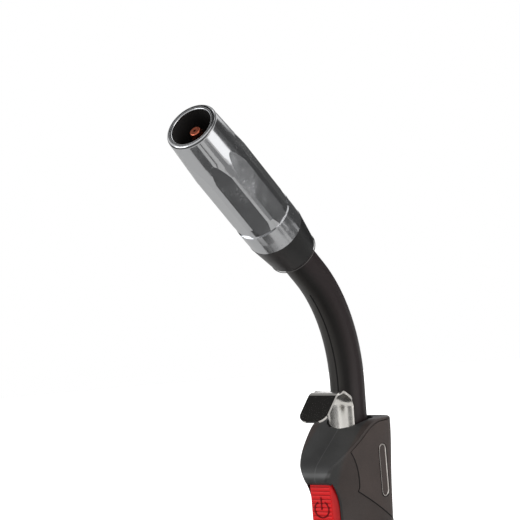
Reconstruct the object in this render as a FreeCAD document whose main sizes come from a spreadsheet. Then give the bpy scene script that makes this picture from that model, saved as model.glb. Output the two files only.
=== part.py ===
"""A gas-cooled MIG welding torch: gas nozzle, swan neck, hanging hook, trigger handle and hose inlet.

The frame is in millimetres. Its origin is the middle of the hose inlet at the rear of the handle.
+Z runs up the handle to the neck, the neck and the trigger face -Y, and X = 0 is the mirror plane.
"""
import FreeCAD, Part
import Sketcher
import math
import os
import re

# Every driving dimension, in millimetres or degrees, written once. A drop is measured down from the
# handle's top, or from the waist or pivot that its name follows in HEIGHTS, and an arm up from the pivot.
SIZES = {
    # Swan neck
    "neck_radius": 8.0,
    "neck_wall": 1.0,
    "neck_rise": 16.2,
    "bend_radius": 70.0,
    "neck_angle": 50.0,
    "front_run": 15.9,
    "sleeve_depth": 20.0,
    "sleeve_overlap": 6.0,
    "insulation_wall": 1.3,
    "conductor_radius": 5.5,
    "wire_way_radius": 2.6,
    "conductor_bore_radius": 2.9,
    "liner_radius": 2.3,
    "liner_bore_radius": 1.1,
    "fit_gap": 0.1,
    # Insulating ring
    "ring_length": 17.0,
    "ring_rear_radius": 11.3,
    "ring_round": 1.3,
    "ring_front_radius": 13.4,
    "spigot_length": 14.0,
    # Gas nozzle
    "nozzle_length": 74.9,
    "nozzle_rear_radius": 13.3,
    "nozzle_band_radius": 13.4,
    "nozzle_band_length": 11.6,
    "nozzle_body_radius": 13.3,
    "nozzle_mouth_radius": 12.0,
    "nozzle_mouth_bore": 9.75,
    "nozzle_bore_radius": 11.6,
    "nozzle_throat_radius": 10.6,
    "nozzle_socket_length": 16.0,
    "nozzle_rim_round": 1.2,
    "nozzle_step": 0.6,
    "nozzle_waist_radius": 13.0,
    "nozzle_waist_length": 5.5,
    "nozzle_taper_length": 25.5,
    "nozzle_flat_radius": 12.75,
    "nozzle_flat_count": 8,
    "nozzle_flat_turn": -15.0,
    # Contact tip, tip holder and spatter guard
    "tip_length": 28.0,
    "tip_recess": 3.3,
    "tip_radius": 4.0,
    "tip_front_radius": 2.5,
    "tip_cone_length": 9.0,
    "tip_nose_round": 0.6,
    "tip_thread_radius": 2.9,
    "tip_thread_length": 7.0,
    "tip_bore_radius": 0.6,
    "holder_radius": 5.8,
    "holder_nose_length": 5.0,
    "holder_wall": 0.6,
    "holder_stub_radius": 4.2,
    "holder_stub_length": 8.0,
    "gas_hole_radius": 0.9,
    "gas_hole_count": 6,
    "guard_radius": 9.2,
    "guard_length": 10.0,
    "head_radius": 6.9,
    "head_socket_depth": 10.0,
    # Spring that holds the nozzle
    "clip_wire_radius": 0.6,
    "clip_setback": 5.0,
    "clip_turn": 320.0,
    # Neck plug, nut, connector block and hose nipple
    "plug_radius": 5.4,
    "plug_flange_radius": 7.0,
    "plug_flange_length": 3.0,
    "plug_seat_length": 4.0,
    "plug_length": 28.0,
    "plug_step": 1.0,
    "plug_end_room": 0.5,
    "seal_groove_depth": 1.3,
    "seal_groove_width": 1.6,
    "seal_spacing": 4.9,
    "nut_flat_radius": 8.75,
    "nut_length": 12.0,
    "nut_lip": 2.0,
    "block_radius": 9.0,
    "block_length": 35.0,
    "block_neck_radius": 7.0,
    "block_neck_length": 8.0,
    "nipple_radius": 4.6,
    "nipple_barb": 0.6,
    "nipple_length": 20.0,
    "nipple_flange_radius": 6.5,
    "nipple_flange_length": 4.0,
    "nipple_stub_radius": 3.9,
    "nipple_stub_length": 8.0,
    "liner_tail": 8.0,
    # Handle: half widths, backs and fronts of its sections, from the top down
    "handle_length": 132.0,
    "top_half_width": 16.9,
    "top_back": 13.5,
    "top_front": 37.2,
    "top_front_half": 4.7,
    "nose_drop": 19.0,
    "nose_half_width": 16.5,
    "nose_back": 13.2,
    "nose_front": 38.4,
    "throat_drop": 29.0,
    "throat_half_width": 16.2,
    "throat_back": 12.7,
    "throat_front": 31.2,
    "trigger_side_drop": 46.0,
    "trigger_side_half_width": 15.7,
    "trigger_side_back": 12.5,
    "trigger_side_front": 29.0,
    "waist_drop": 72.0,
    "waist_half_width": 14.6,
    "waist_back": 12.6,
    "waist_front": 27.5,
    "waist_front_half": 7.4,
    "palm_height": 32.0,
    "palm_half_width": 15.0,
    "palm_back": 13.8,
    "palm_front": 20.0,
    "palm_front_half": 8.6,
    "rear_half_width": 15.4,
    "rear_back": 14.6,
    "rear_front": 15.0,
    "rear_front_half": 7.0,
    "back_corner": 8.2,
    "palm_corner": 9.2,
    "rear_corner": 12.5,
    # Handle: forehead, nose and the mouth behind the trigger, seen from the side
    "brow_start": -0.6,
    "brow_round": 19.2,
    "brow_slope": 34.6,
    "slope_end": 29.3,
    "nose_round": 8.3,
    "nose_under_round": 2.6,
    "rim_round": 17.4,
    "rim_middle": 24.4,
    "rim_middle_drop": 38.0,
    "rim_low": 23.8,
    "rim_low_drop": 64.0,
    "finger_stop_slope": 40.0,
    "edge_break": 0.6,
    "shell_wall": 3.4,
    "inner_front_share": 0.9,
    "top_rise": 4.0,
    # Side covers and badge
    "cover_thickness": 1.6,
    "cover_gap": 0.35,
    "cover_rim": 0.8,
    "cover_nose": 21.9,
    "cover_kink_upper": 15.9,
    "cover_kink_upper_drop": 29.5,
    "cover_arc_radius": 30.0,
    "cover_kink": 16.6,
    "cover_kink_drop": 31.3,
    "cover_slope_drop": 61.8,
    "badge_depth": 0.8,
    "badge_plate_thickness": 0.5,
    "badge_radius": 3.0,
    "badge_length": 25.0,
    "badge_setback": 0.8,
    "badge_drop": 23.8,
    "badge_tilt": 3.8,
    # Neck bore, collar and hose bush
    "hook_clear": 0.15,
    "collar_length": 12.0,
    "collar_lip": 3.0,
    "collar_radius": 16.2,
    "collar_end_radius": 15.2,
    "collar_taper_end": 9.5,
    "collar_edge_round": 1.0,
    "collar_gap": 0.3,
    "collar_flute_radius": 1.6,
    "collar_flute_depth": 0.6,
    "collar_flute_length": 7.4,
    "collar_flute_count": 18,
    "spigot_radius": 13.4,
    "bush_radius": 9.5,
    "bush_length": 10.0,
    "hose_radius": 7.5,
    # Hanging hook
    "hook_thickness": 1.1,
    "hook_gap": 0.9,
    "hook_half_angle": 44.5,
    "hook_half_width": 7.45,
    "hook_depth": 11.2,
    "hook_saddle_rise": 6.0,
    "hook_leg_rise": 7.5,
    "hook_bend_radius": 6.5,
    "hook_top_slope": 5.0,
    "hook_top_run": 2.85,
    "hook_fold_radius": 4.0,
    "hook_slope": 43.0,
    "hook_tongue": 14.7,
    "hook_corner": 4.8,
    "hook_foot": 2.0,
    "hook_pocket_clear": 0.7,
    "hook_pocket_depth": 2.8,
    "neck_ring_height": 10.0,
    "neck_ring_wall": 3.0,
    # Trigger, its pin and spring
    "trigger_gap": 0.35,
    "trigger_face_half": 5.6,
    "trigger_half_width": 6.7,
    "trigger_face_round": 0.6,
    "trigger_flare_front": 28.2,
    "trigger_flare_rear": 24.4,
    "trigger_top": 29.2,
    "trigger_top_arm": 43.0,
    "trigger_upper": 28.5,
    "trigger_upper_arm": 31.7,
    "trigger_length_round": 160.0,
    "trigger_low": 25.8,
    "trigger_low_arm": 4.0,
    "trigger_foot": 22.8,
    "trigger_foot_drop": 3.4,
    "trigger_foot_round": 9.4,
    "trigger_back_top": 21.2,
    "trigger_wall": 2.0,
    "pivot_forward": 20.0,
    "pivot_drop": 66.0,
    "pivot_pin_radius": 1.5,
    "pivot_pin_half_length": 9.7,
    "pivot_hub_radius": 3.2,
    "pusher_half_width": 1.6,
    "pusher_height": 4.0,
    "spring_arm": 14.0,
    "spring_front": 23.4,
    "spring_boss_radius": 3.2,
    "spring_boss_length": 2.5,
    "spring_radius": 2.2,
    "spring_wire_radius": 0.3,
    "spring_turns": 6,
    "spring_seat": 14.5,
    "spring_seat_thickness": 1.2,
    "spring_seat_half_height": 3.2,
    # Micro switch, its leads and their plug
    "switch_half_width": 3.2,
    "switch_back": 10.7,
    "switch_depth": 9.8,
    "plunger_setback": 11.0,
    "switch_length": 19.8,
    "switch_peg_spacing": 9.5,
    "switch_peg_back": 13.6,
    "switch_peg_radius": 1.1,
    "switch_post_radius": 2.4,
    "plunger_arm": 29.0,
    "plunger_radius": 1.3,
    "plunger_reach": 1.9,
    "plunger_length": 4.6,
    "plunger_well": 5.6,
    "terminal_half_spacing": 1.6,
    "terminal_thickness": 0.5,
    "terminal_width": 2.0,
    "terminal_length": 5.0,
    "lead_radius": 0.7,
    "lead_plug_half_width": 4.2,
    "lead_plug_back": 9.0,
    "lead_plug_depth": 5.4,
    "lead_plug_bottom": 27.0,
    "lead_plug_length": 11.0,
    "lead_plug_way_radius": 1.1,
    # Shell screws
    "screw_radius": 1.45,
    "screw_clear": 0.15,
    "screw_bite": 0.05,
    "screw_head_radius": 2.6,
    "screw_head_length": 2.0,
    "screw_length": 18.0,
    "screw_head_inset": 6.4,
    "screw_end_room": 0.4,
    "top_screw_forward": 17.3,
    "top_screw_drop": 14.8,
    "waist_screw_forward": 18.6,
    "waist_screw_drop": 5.5,
    "rear_screw_forward": 12.0,
    "rear_screw_height": 20.0,
    "boss_radius": 3.6,
    "rib_thickness": 3.0,
    "rib_clear": 0.6,
    "rib_setback": 2.0,
    "neck_rib_front": 12.6,
}

# Heights that follow from others. The head of the handle keeps its form below the top, the trigger and
# its switch keep theirs above the pivot, and a longer handle grows between the waist and the palm.
HEIGHTS = {
    "nose_height": "handle_length - nose_drop",
    "throat_height": "handle_length - throat_drop",
    "trigger_side_height": "handle_length - trigger_side_drop",
    "waist_height": "handle_length - waist_drop",
    "rim_middle_height": "handle_length - rim_middle_drop",
    "rim_low_height": "handle_length - rim_low_drop",
    "cover_kink_upper_height": "handle_length - cover_kink_upper_drop",
    "cover_kink_height": "handle_length - cover_kink_drop",
    "cover_slope_height": "handle_length - cover_slope_drop",
    "badge_height": "handle_length - badge_drop",
    "top_screw_height": "handle_length - top_screw_drop",
    "waist_screw_height": "waist_height - waist_screw_drop",
    "pivot_height": "handle_length - pivot_drop",
    "trigger_top_height": "pivot_height + trigger_top_arm",
    "trigger_upper_height": "pivot_height + trigger_upper_arm",
    "trigger_low_height": "pivot_height + trigger_low_arm",
    "trigger_foot_height": "pivot_height - trigger_foot_drop",
    "spring_height": "pivot_height + spring_arm",
    "plunger_height": "pivot_height + plunger_arm",
    "switch_bottom": "plunger_height - plunger_setback",
}

BEND_START = "handle_length + neck_rise"
NOZZLE_REAR = "front_run + ring_length"
MOUTH = "front_run + ring_length + nozzle_length"
TIP_FRONT = "front_run + ring_length + nozzle_length - tip_recess"
TIP_REAR = TIP_FRONT + " - tip_length"
SLEEVE_END = "handle_length - sleeve_depth"
PLUG_FLANGE = SLEEVE_END + " - plug_seat_length - plug_flange_length"
PLUG_BOTTOM = SLEEVE_END + " - plug_length"
BLOCK_TOP = PLUG_FLANGE + " - plug_flange_length"
BLOCK_SHOULDER = "(" + BLOCK_TOP + " - block_neck_length)"
BLOCK_BOTTOM = "(" + BLOCK_TOP + " - block_neck_length - block_length)"
NIPPLE_BARBS = 4
SWITCH_FRONT = "(switch_back + switch_depth)"
HOOK_CENTRE = ("(-neck_radius - hook_gap - hook_thickness / 2 - hook_bend_radius)",
               "(handle_length + hook_leg_rise)")
SCREW_SEATS = [(f"-{place}_screw_forward", f"{place}_screw_height") for place in ("top", "waist", "rear")]
SWITCH_PEGS = [f"switch_bottom + (switch_length + switch_peg_spacing * {sign}) / 2" for sign in (-1, 1)]

doc = FreeCAD.newDocument("mig_torch")
sheet = doc.addObject("Spreadsheet::Sheet", "Sizes")
rows = list(SIZES.items()) + [(alias, "=" + formula) for alias, formula in HEIGHTS.items()]
for row, (alias, content) in enumerate(rows, start=1):
    sheet.set(f"A{row}", alias)
    sheet.set(f"B{row}", str(content))
    sheet.setAlias(f"B{row}", alias)
doc.recompute()

NODES = []


def expr(text):
    """Writes a formula in plain alias names as an expression that reads the sheet."""
    return re.sub(r"[a-z]+(?:_[a-z]+)+", lambda m: "Sizes." + m.group(0), str(text))


def value(text):
    """The number that a formula gives now."""
    return float(sheet.evalExpression(expr(text)))


def bind(obj, **formulas):
    """Binds properties of an object to formulas; a double underscore stands for a dot."""
    for prop, text in formulas.items():
        obj.setExpression(prop.replace("__", "."), expr(text))


def node(obj, label):
    """Names an object as one sub-part of the torch."""
    obj.Label = label
    NODES.append(obj)
    return obj


def on_neck(obj, along="0"):
    """Seats an object on the neck's front axis, measured from the end of the bend."""
    obj.Placement = FreeCAD.Placement(
        FreeCAD.Vector(0, 0, 0), FreeCAD.Rotation(FreeCAD.Vector(1, 0, 0), value("neck_angle")))
    bind(obj,
         Placement__Base__y=f"-bend_radius * (1 - cos(neck_angle)) - ({along}) * sin(neck_angle)",
         Placement__Base__z=f"{BEND_START} + bend_radius * sin(neck_angle) + ({along}) * cos(neck_angle)",
         Placement__Rotation__Angle="neck_angle")


def body(name):
    return doc.addObject("PartDesign::Body", name)


def sketch_on(owner, plane, height="0", turn="0"):
    """A sketch on one of the body's own origin planes, moved out along its normal."""
    made = owner.newObject("Sketcher::SketchObject", "sketch")
    role = plane + "_Plane"
    made.AttachmentSupport = [(f, "") for f in owner.Origin.OriginFeatures if f.Role == role]
    made.MapMode = "FlatFace"
    made.AttachmentOffset = FreeCAD.Placement(
        FreeCAD.Vector(0, 0, 0), FreeCAD.Rotation(FreeCAD.Vector(0, 0, 1), 0.0))
    bind(made, AttachmentOffset__Base__z=height, AttachmentOffset__Rotation__Angle=turn)
    return made


def arc_through(start, end, radius):
    """The short arc from start to end, turning left for a positive radius."""
    chord = end.sub(start)
    lift = math.sqrt(max(radius * radius - chord.Length ** 2 / 4.0, 0.0))
    left = FreeCAD.Vector(-chord.y, chord.x, 0).normalize()
    side = 1.0 if radius > 0 else -1.0
    centre = start.add(chord.multiply(0.5)).add(left.multiply(side * lift))
    first, last = (start, end) if radius > 0 else (end, start)
    a = math.atan2(first.y - centre.y, first.x - centre.x)
    b = math.atan2(last.y - centre.y, last.x - centre.x)
    circle = Part.Circle(centre, FreeCAD.Vector(0, 0, 1), abs(radius))
    return Part.ArcOfCircle(circle, a, b if b > a else b + 2 * math.pi)


def trace(made, points, closed=True):
    """Draws lines and arcs through points, with each point and radius bound to the sheet.

    A point is (x, y), or (x, y, radius) where the run that ends there is an arc. A radius that
    begins with a minus sign turns right.
    """
    places = [FreeCAD.Vector(value(p[0]), value(p[1]), 0) for p in points]
    count = len(points)
    runs = []
    base = made.GeometryCount
    for i in range(count if closed else count - 1):
        j = (i + 1) % count
        radius = points[j][2] if len(points[j]) > 2 else None
        if radius is None:
            made.addGeometry(Part.LineSegment(places[i], places[j]))
            runs.append((1, 2))
        else:
            bend = value(radius)
            made.addGeometry(arc_through(places[i], places[j], bend))
            runs.append((1, 2) if bend > 0 else (2, 1))
            size = made.addConstraint(Sketcher.Constraint("Radius", base + i, abs(bend)))
            made.setExpression(f"Constraints[{size}]", expr(str(radius).lstrip("-")))
    for i, (first, last) in enumerate(runs):
        pin(made, base + i, first, points[i], places[i])
        if i + 1 < len(runs):
            following = runs[i + 1][0]
            made.addConstraint(Sketcher.Constraint("Coincident", base + i, last, base + i + 1, following))
    if closed:
        end = base + count - 1
        made.addConstraint(Sketcher.Constraint("Coincident", end, runs[-1][1], base, runs[0][0]))
    else:
        pin(made, base + count - 2, runs[-1][1], points[-1], places[-1])
    return made


def pin(made, curve, end, point, place):
    """Holds one end of a curve at a place that the sheet gives."""
    for kind, text, number in (("DistanceX", point[0], place.x), ("DistanceY", point[1], place.y)):
        size = made.addConstraint(Sketcher.Constraint(kind, -1, 1, curve, end, number))
        made.setExpression(f"Constraints[{size}]", expr(text))


def circle(made, x, y, radius):
    """Draws a circle whose middle and radius are bound to the sheet."""
    middle = FreeCAD.Vector(value(x), value(y), 0)
    curve = made.addGeometry(Part.Circle(middle, FreeCAD.Vector(0, 0, 1), value(radius)))
    size = made.addConstraint(Sketcher.Constraint("Radius", curve, value(radius)))
    made.setExpression(f"Constraints[{size}]", expr(radius))
    pin(made, curve, 3, (x, y), middle)
    return made


def box_outline(x_low, x_high, y_low, y_high):
    return [(x_low, y_low), (x_high, y_low), (x_high, y_high), (x_low, y_high)]


def revolve(name, profile):
    """A body turned about Z from a profile of (radius, height) points."""
    owner = body(name)
    profile_sketch = trace(sketch_on(owner, "XZ"), profile)
    turned = owner.newObject("PartDesign::Revolution", "turned")
    turned.Profile = profile_sketch
    turned.ReferenceAxis = (profile_sketch, ["V_Axis"])
    turned.Angle = 360
    return owner


def extrude(owner, drawn, length, kind="PartDesign::Pad", both_ways=False, backwards=False):
    made = owner.newObject(kind, "extruded")
    made.Profile = drawn
    made.Midplane = both_ways
    made.Reversed = backwards
    bind(made, Length=length)
    return made


def around(owner, feature, count):
    """Repeats a feature round the body's Z axis."""
    pattern = owner.newObject("PartDesign::PolarPattern", "round_axis")
    pattern.Originals = [feature]
    axis = [f for f in owner.Origin.OriginFeatures if f.Role == "Z_Axis"][0]
    pattern.Axis = (axis, [""])
    pattern.Angle = 360
    bind(pattern, Occurrences=count)
    owner.Tip = pattern
    return pattern


def cylinder(name, radius, height, place, axis="Z"):
    """A round bar from a place (x, y, z) along an axis."""
    made = doc.addObject("Part::Cylinder", name)
    turn = {"X": ((0, 1, 0), 90), "Y": ((1, 0, 0), -90), "Z": ((0, 0, 1), 0)}[axis]
    made.Placement = FreeCAD.Placement(
        FreeCAD.Vector(0, 0, 0), FreeCAD.Rotation(FreeCAD.Vector(*turn[0]), turn[1]))
    bind(made, Radius=radius, Height=height,
         Placement__Base__x=place[0], Placement__Base__y=place[1], Placement__Base__z=place[2])
    return made


def block(name, low, size):
    """A box from its low corner and its size."""
    made = doc.addObject("Part::Box", name)
    bind(made, Length=size[0], Width=size[1], Height=size[2],
         Placement__Base__x=low[0], Placement__Base__y=low[1], Placement__Base__z=low[2])
    return made


def fuse(name, shapes):
    made = doc.addObject("Part::MultiFuse", name)
    made.Shapes = shapes
    return made


def common(name, shapes):
    made = doc.addObject("Part::MultiCommon", name)
    made.Shapes = shapes
    return made


def cut(name, base, tool):
    made = doc.addObject("Part::Cut", name)
    made.Base = base
    made.Tool = tool
    return made


# Swan neck

def bent_tube(name, outer, inner, start, end):
    """A tube along the neck, from a height in the handle to a place past the bend."""
    owner = body(name)
    sine = "sin(neck_angle)"
    cosine = "cos(neck_angle)"
    bend_y = f"-bend_radius * (1 - {cosine})"
    bend_z = f"{BEND_START} + bend_radius * {sine}"
    spine = trace(sketch_on(owner, "YZ"), [
        ("0", start),
        ("0", BEND_START),
        (bend_y, bend_z, "bend_radius"),
        (f"{bend_y} - ({end}) * {sine}", f"{bend_z} + ({end}) * {cosine}"),
    ], closed=False)
    section = sketch_on(owner, "XY", height=start)
    circle(section, "0", "0", outer)
    circle(section, "0", "0", inner)
    pipe = owner.newObject("PartDesign::AdditivePipe", "pipe")
    pipe.Profile = section
    pipe.Spine = (spine, ["Edge1", "Edge2", "Edge3"])
    return node(owner, name)


def make_neck():
    bent_tube("neck_sleeve", "neck_radius", "neck_radius - neck_wall",
              SLEEVE_END, "front_run + sleeve_overlap")
    around_conductor = "conductor_radius + fit_gap"
    bent_tube("neck_insulation", around_conductor + " + insulation_wall", around_conductor,
              SLEEVE_END + " + sleeve_overlap", "front_run - head_socket_depth")
    bent_tube("neck_conductor", "conductor_radius", "conductor_bore_radius",
              SLEEVE_END + " - plug_seat_length", "front_run")
    bent_tube("wire_liner", "liner_radius", "liner_bore_radius",
              BLOCK_BOTTOM + " - nipple_flange_length - nipple_length - liner_tail",
              TIP_REAR + " - 1")


def make_neck_head():
    """The brass head that joins the inner tube to the tip holder."""
    rear = "front_run - head_socket_depth"
    front = f"{NOZZLE_REAR} + spigot_length + holder_stub_length"
    node(revolve("neck_head", [
        ("wire_way_radius", "front_run"),
        ("conductor_radius + fit_gap / 2", "front_run"),
        ("conductor_radius + fit_gap / 2", rear),
        ("head_radius", rear),
        ("head_radius", front),
        ("holder_stub_radius + fit_gap / 2", front),
        ("holder_stub_radius + fit_gap / 2", f"{front} - holder_stub_length"),
        ("wire_way_radius", f"{front} - holder_stub_length"),
    ]), "neck_head")
    on_neck(NODES[-1])


def make_insulating_ring():
    seat = "front_run + sleeve_overlap"
    spigot_end = f"{NOZZLE_REAR} + spigot_length"
    spigot = "nozzle_bore_radius - fit_gap"
    groove = f"{spigot_end} - clip_setback"
    groove_floor = f"{spigot} - clip_wire_radius * 2"
    node(revolve("insulating_ring", [
        ("neck_radius + fit_gap", "front_run"),
        ("ring_rear_radius - ring_round", "front_run"),
        ("ring_rear_radius", "front_run + ring_round", "ring_round"),
        ("ring_front_radius", NOZZLE_REAR),
        (spigot, NOZZLE_REAR),
        (spigot, f"{groove} - clip_wire_radius - fit_gap"),
        (groove_floor, f"{groove} - clip_wire_radius - fit_gap"),
        (groove_floor, f"{groove} + clip_wire_radius + fit_gap"),
        (spigot, f"{groove} + clip_wire_radius + fit_gap"),
        (spigot, spigot_end),
        ("head_radius + fit_gap / 2", spigot_end),
        ("head_radius + fit_gap / 2", seat),
        ("neck_radius + fit_gap", seat),
    ]), "insulating_ring")
    on_neck(NODES[-1])
    clip = doc.addObject("Part::Torus", "nozzle_spring")
    bind(clip, Radius1="nozzle_bore_radius - clip_wire_radius - fit_gap / 2",
         Radius2="clip_wire_radius", Angle3="clip_turn")
    on_neck(node(clip, "nozzle_spring"), groove)


def make_nozzle():
    """The plated gas nozzle: a band, a waist, a straight body with flats that end at a step, and a taper."""
    band_end = f"{NOZZLE_REAR} + nozzle_band_length"
    nozzle = revolve("gas_nozzle", [
        ("nozzle_bore_radius", NOZZLE_REAR),
        ("nozzle_rear_radius", NOZZLE_REAR),
        ("nozzle_band_radius", f"{NOZZLE_REAR} + nozzle_band_length / 2"),
        ("nozzle_band_radius", band_end),
        ("nozzle_waist_radius", f"{band_end} + nozzle_step"),
        ("nozzle_body_radius", f"{band_end} + nozzle_waist_length"),
        ("nozzle_body_radius", f"{MOUTH} - nozzle_taper_length"),
        ("nozzle_mouth_radius", f"{MOUTH} - nozzle_rim_round"),
        ("nozzle_mouth_radius - nozzle_rim_round", MOUTH, "nozzle_rim_round"),
        ("nozzle_mouth_bore + nozzle_rim_round / 2", MOUTH),
        ("nozzle_mouth_bore", f"{MOUTH} - nozzle_rim_round / 2", "nozzle_rim_round / 2"),
        ("nozzle_throat_radius", f"{NOZZLE_REAR} + nozzle_socket_length + nozzle_step"),
        ("nozzle_bore_radius", f"{NOZZLE_REAR} + nozzle_socket_length"),
    ])
    tool = box_outline(
        "nozzle_flat_radius", "nozzle_band_radius * 2", "-nozzle_flat_radius / 2", "nozzle_flat_radius / 2")
    flat = trace(sketch_on(nozzle, "XY", height=band_end, turn="nozzle_flat_turn"), tool)
    milled = extrude(nozzle, flat, "nozzle_length", "PartDesign::Pocket", backwards=True)
    around(nozzle, milled, "nozzle_flat_count")
    on_neck(node(nozzle, "gas_nozzle"))


def make_tip():
    node(revolve("contact_tip", [
        ("tip_bore_radius", TIP_REAR),
        ("tip_thread_radius", TIP_REAR),
        ("tip_thread_radius", f"{TIP_REAR} + tip_thread_length"),
        ("tip_radius", f"{TIP_REAR} + tip_thread_length"),
        ("tip_radius", f"{TIP_FRONT} - tip_cone_length"),
        ("tip_front_radius", f"{TIP_FRONT} - tip_nose_round"),
        ("tip_front_radius - tip_nose_round", TIP_FRONT, "tip_nose_round"),
        ("tip_bore_radius", TIP_FRONT),
    ]), "contact_tip")
    on_neck(NODES[-1])
    rear = f"{NOZZLE_REAR} + spigot_length"
    step = f"{rear} + holder_stub_length"
    front = f"{TIP_REAR} + tip_thread_length"
    holder = revolve("tip_holder", [
        ("liner_radius + fit_gap", rear),
        ("holder_stub_radius", rear),
        ("holder_stub_radius", step),
        ("holder_radius", step),
        ("holder_radius", f"{front} - holder_nose_length"),
        ("tip_radius + holder_wall", front),
        ("tip_thread_radius + fit_gap / 2", front),
        ("tip_thread_radius + fit_gap / 2", TIP_REAR),
        ("tip_thread_radius + holder_wall", TIP_REAR),
        ("tip_thread_radius + holder_wall", f"{step} + guard_length / 2"),
        ("liner_radius + fit_gap", f"{step} + guard_length / 2"),
    ])
    hole = circle(sketch_on(holder, "XZ"), "0", f"{TIP_REAR} - gas_hole_radius * 4", "gas_hole_radius")
    drilled = extrude(holder, hole, "holder_radius + holder_wall", "PartDesign::Pocket")
    around(holder, drilled, "gas_hole_count")
    on_neck(node(holder, "tip_holder"))
    node(revolve("spatter_guard", box_outline(
        "holder_radius + fit_gap / 2", "guard_radius", step, f"{step} + guard_length")), "spatter_guard")
    on_neck(NODES[-1])


# Connector inside the handle

def make_neck_plug():
    """The plug end of the neck, with a seat for the tubes and grooves for two seals."""
    seat = f"{SLEEVE_END} - plug_seat_length"
    bore = "conductor_radius + fit_gap / 2"
    grooves = []
    for i in range(2):
        low = f"{PLUG_BOTTOM} + seal_spacing * {i + 0.5}"
        high = f"{low} + seal_groove_width"
        floor = "plug_radius - seal_groove_depth"
        grooves += [("plug_radius", low), (floor, low), (floor, high), ("plug_radius", high)]
    node(revolve("neck_plug", [
        ("wire_way_radius", PLUG_BOTTOM),
        ("plug_radius", PLUG_BOTTOM),
        *grooves,
        ("plug_radius", f"{PLUG_FLANGE} - plug_flange_length"),
        ("plug_flange_radius", f"{PLUG_FLANGE} - plug_flange_length"),
        ("plug_flange_radius", PLUG_FLANGE),
        ("plug_flange_radius - plug_step", PLUG_FLANGE),
        ("plug_flange_radius - plug_step", seat),
        ("neck_radius", seat),
        ("neck_radius", SLEEVE_END),
        ("head_radius", SLEEVE_END),
        ("head_radius", f"{SLEEVE_END} + sleeve_overlap"),
        (bore, f"{SLEEVE_END} + sleeve_overlap"),
        (bore, seat),
        ("wire_way_radius", seat),
    ]), "neck_plug")
    seals = []
    for i in range(2):
        seal = doc.addObject("Part::Torus", f"seal_{i}")
        bind(seal, Radius1="plug_radius - (seal_groove_depth - fit_gap) / 2",
             Radius2="(seal_groove_depth + fit_gap) / 2",
             Placement__Base__z=f"{PLUG_BOTTOM} + seal_spacing * {i + 0.5} + seal_groove_width / 2")
        seals.append(seal)
    rings = doc.addObject("Part::Compound", "plug_o_rings")
    rings.Links = seals
    node(rings, "plug_o_rings")


def make_neck_nut():
    nut = body("neck_nut")
    corner = "nut_flat_radius / cos(30)"
    low = f"{PLUG_FLANGE} + nut_lip - nut_length"
    hexagon = [(f"{corner} * cos({60 * i})", f"{corner} * sin({60 * i})") for i in range(6)]
    extrude(nut, trace(sketch_on(nut, "XY", height=low), hexagon), "nut_length")
    wide = circle(sketch_on(nut, "XY", height=low), "0", "0", "plug_flange_radius + fit_gap")
    extrude(nut, wide, "nut_length - nut_lip", "PartDesign::Pocket", backwards=True)
    lip = circle(sketch_on(nut, "XY", height=low), "0", "0", "plug_flange_radius - plug_step + fit_gap")
    extrude(nut, lip, "nut_length * 2", "PartDesign::Pocket", backwards=True)
    node(nut, "neck_nut")


def make_connector_block():
    """The brass block that the neck plugs into, and the barbed nipple for the hose."""
    stub_end = f"{BLOCK_BOTTOM} + nipple_stub_length"
    well = f"{PLUG_BOTTOM} - plug_end_room"
    node(revolve("connector_block", [
        ("wire_way_radius", stub_end),
        ("nipple_stub_radius + fit_gap / 2", stub_end),
        ("nipple_stub_radius + fit_gap / 2", BLOCK_BOTTOM),
        ("block_radius", BLOCK_BOTTOM),
        ("block_radius", BLOCK_SHOULDER),
        ("block_neck_radius", BLOCK_SHOULDER),
        ("block_neck_radius", BLOCK_TOP),
        ("plug_radius + fit_gap", BLOCK_TOP),
        ("plug_radius + fit_gap", well),
        ("wire_way_radius", well),
    ]), "connector_block")
    flange = f"{BLOCK_BOTTOM} - nipple_flange_length"
    barbs = []
    pitch = f"nipple_length / {NIPPLE_BARBS}"
    for i in range(NIPPLE_BARBS, 0, -1):
        barbs.append(("nipple_radius", f"{flange} - {pitch} * {i}"))
        barbs.append(("nipple_radius + nipple_barb", f"{flange} - {pitch} * {i - 1}"))
    node(revolve("hose_nipple", [
        ("wire_way_radius", stub_end),
        ("wire_way_radius", f"{flange} - nipple_length"),
        *barbs,
        ("nipple_flange_radius", flange),
        ("nipple_flange_radius", BLOCK_BOTTOM),
        ("nipple_stub_radius", BLOCK_BOTTOM),
        ("nipple_stub_radius", stub_end),
    ]), "hose_nipple")


# Handle

def handle_section(owner, height, half_width, back, front, front_half, corner, inset):
    """One section of the handle: a flat front, long side arcs and round back corners."""
    wide = f"({half_width} - {inset})"
    rear = f"({back} - {inset})"
    forward = f"({front} - {inset})"
    flat = f"({front_half} - {inset} * inner_front_share)"
    round_back = f"({corner} - {inset})"
    widest = f"({rear} - {round_back})"
    side = f"(({widest} + {forward})^2 + ({wide} - {flat})^2) / (2 * ({wide} - {flat}))"
    return trace(sketch_on(owner, "XY", height=height), [
        (flat, f"-{forward}"),
        (wide, widest, side),
        (f"{wide} - {round_back}", rear, round_back),
        (f"-({wide} - {round_back})", rear),
        (f"-{wide}", widest, round_back),
        (f"-{flat}", f"-{forward}", side),
    ])


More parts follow.
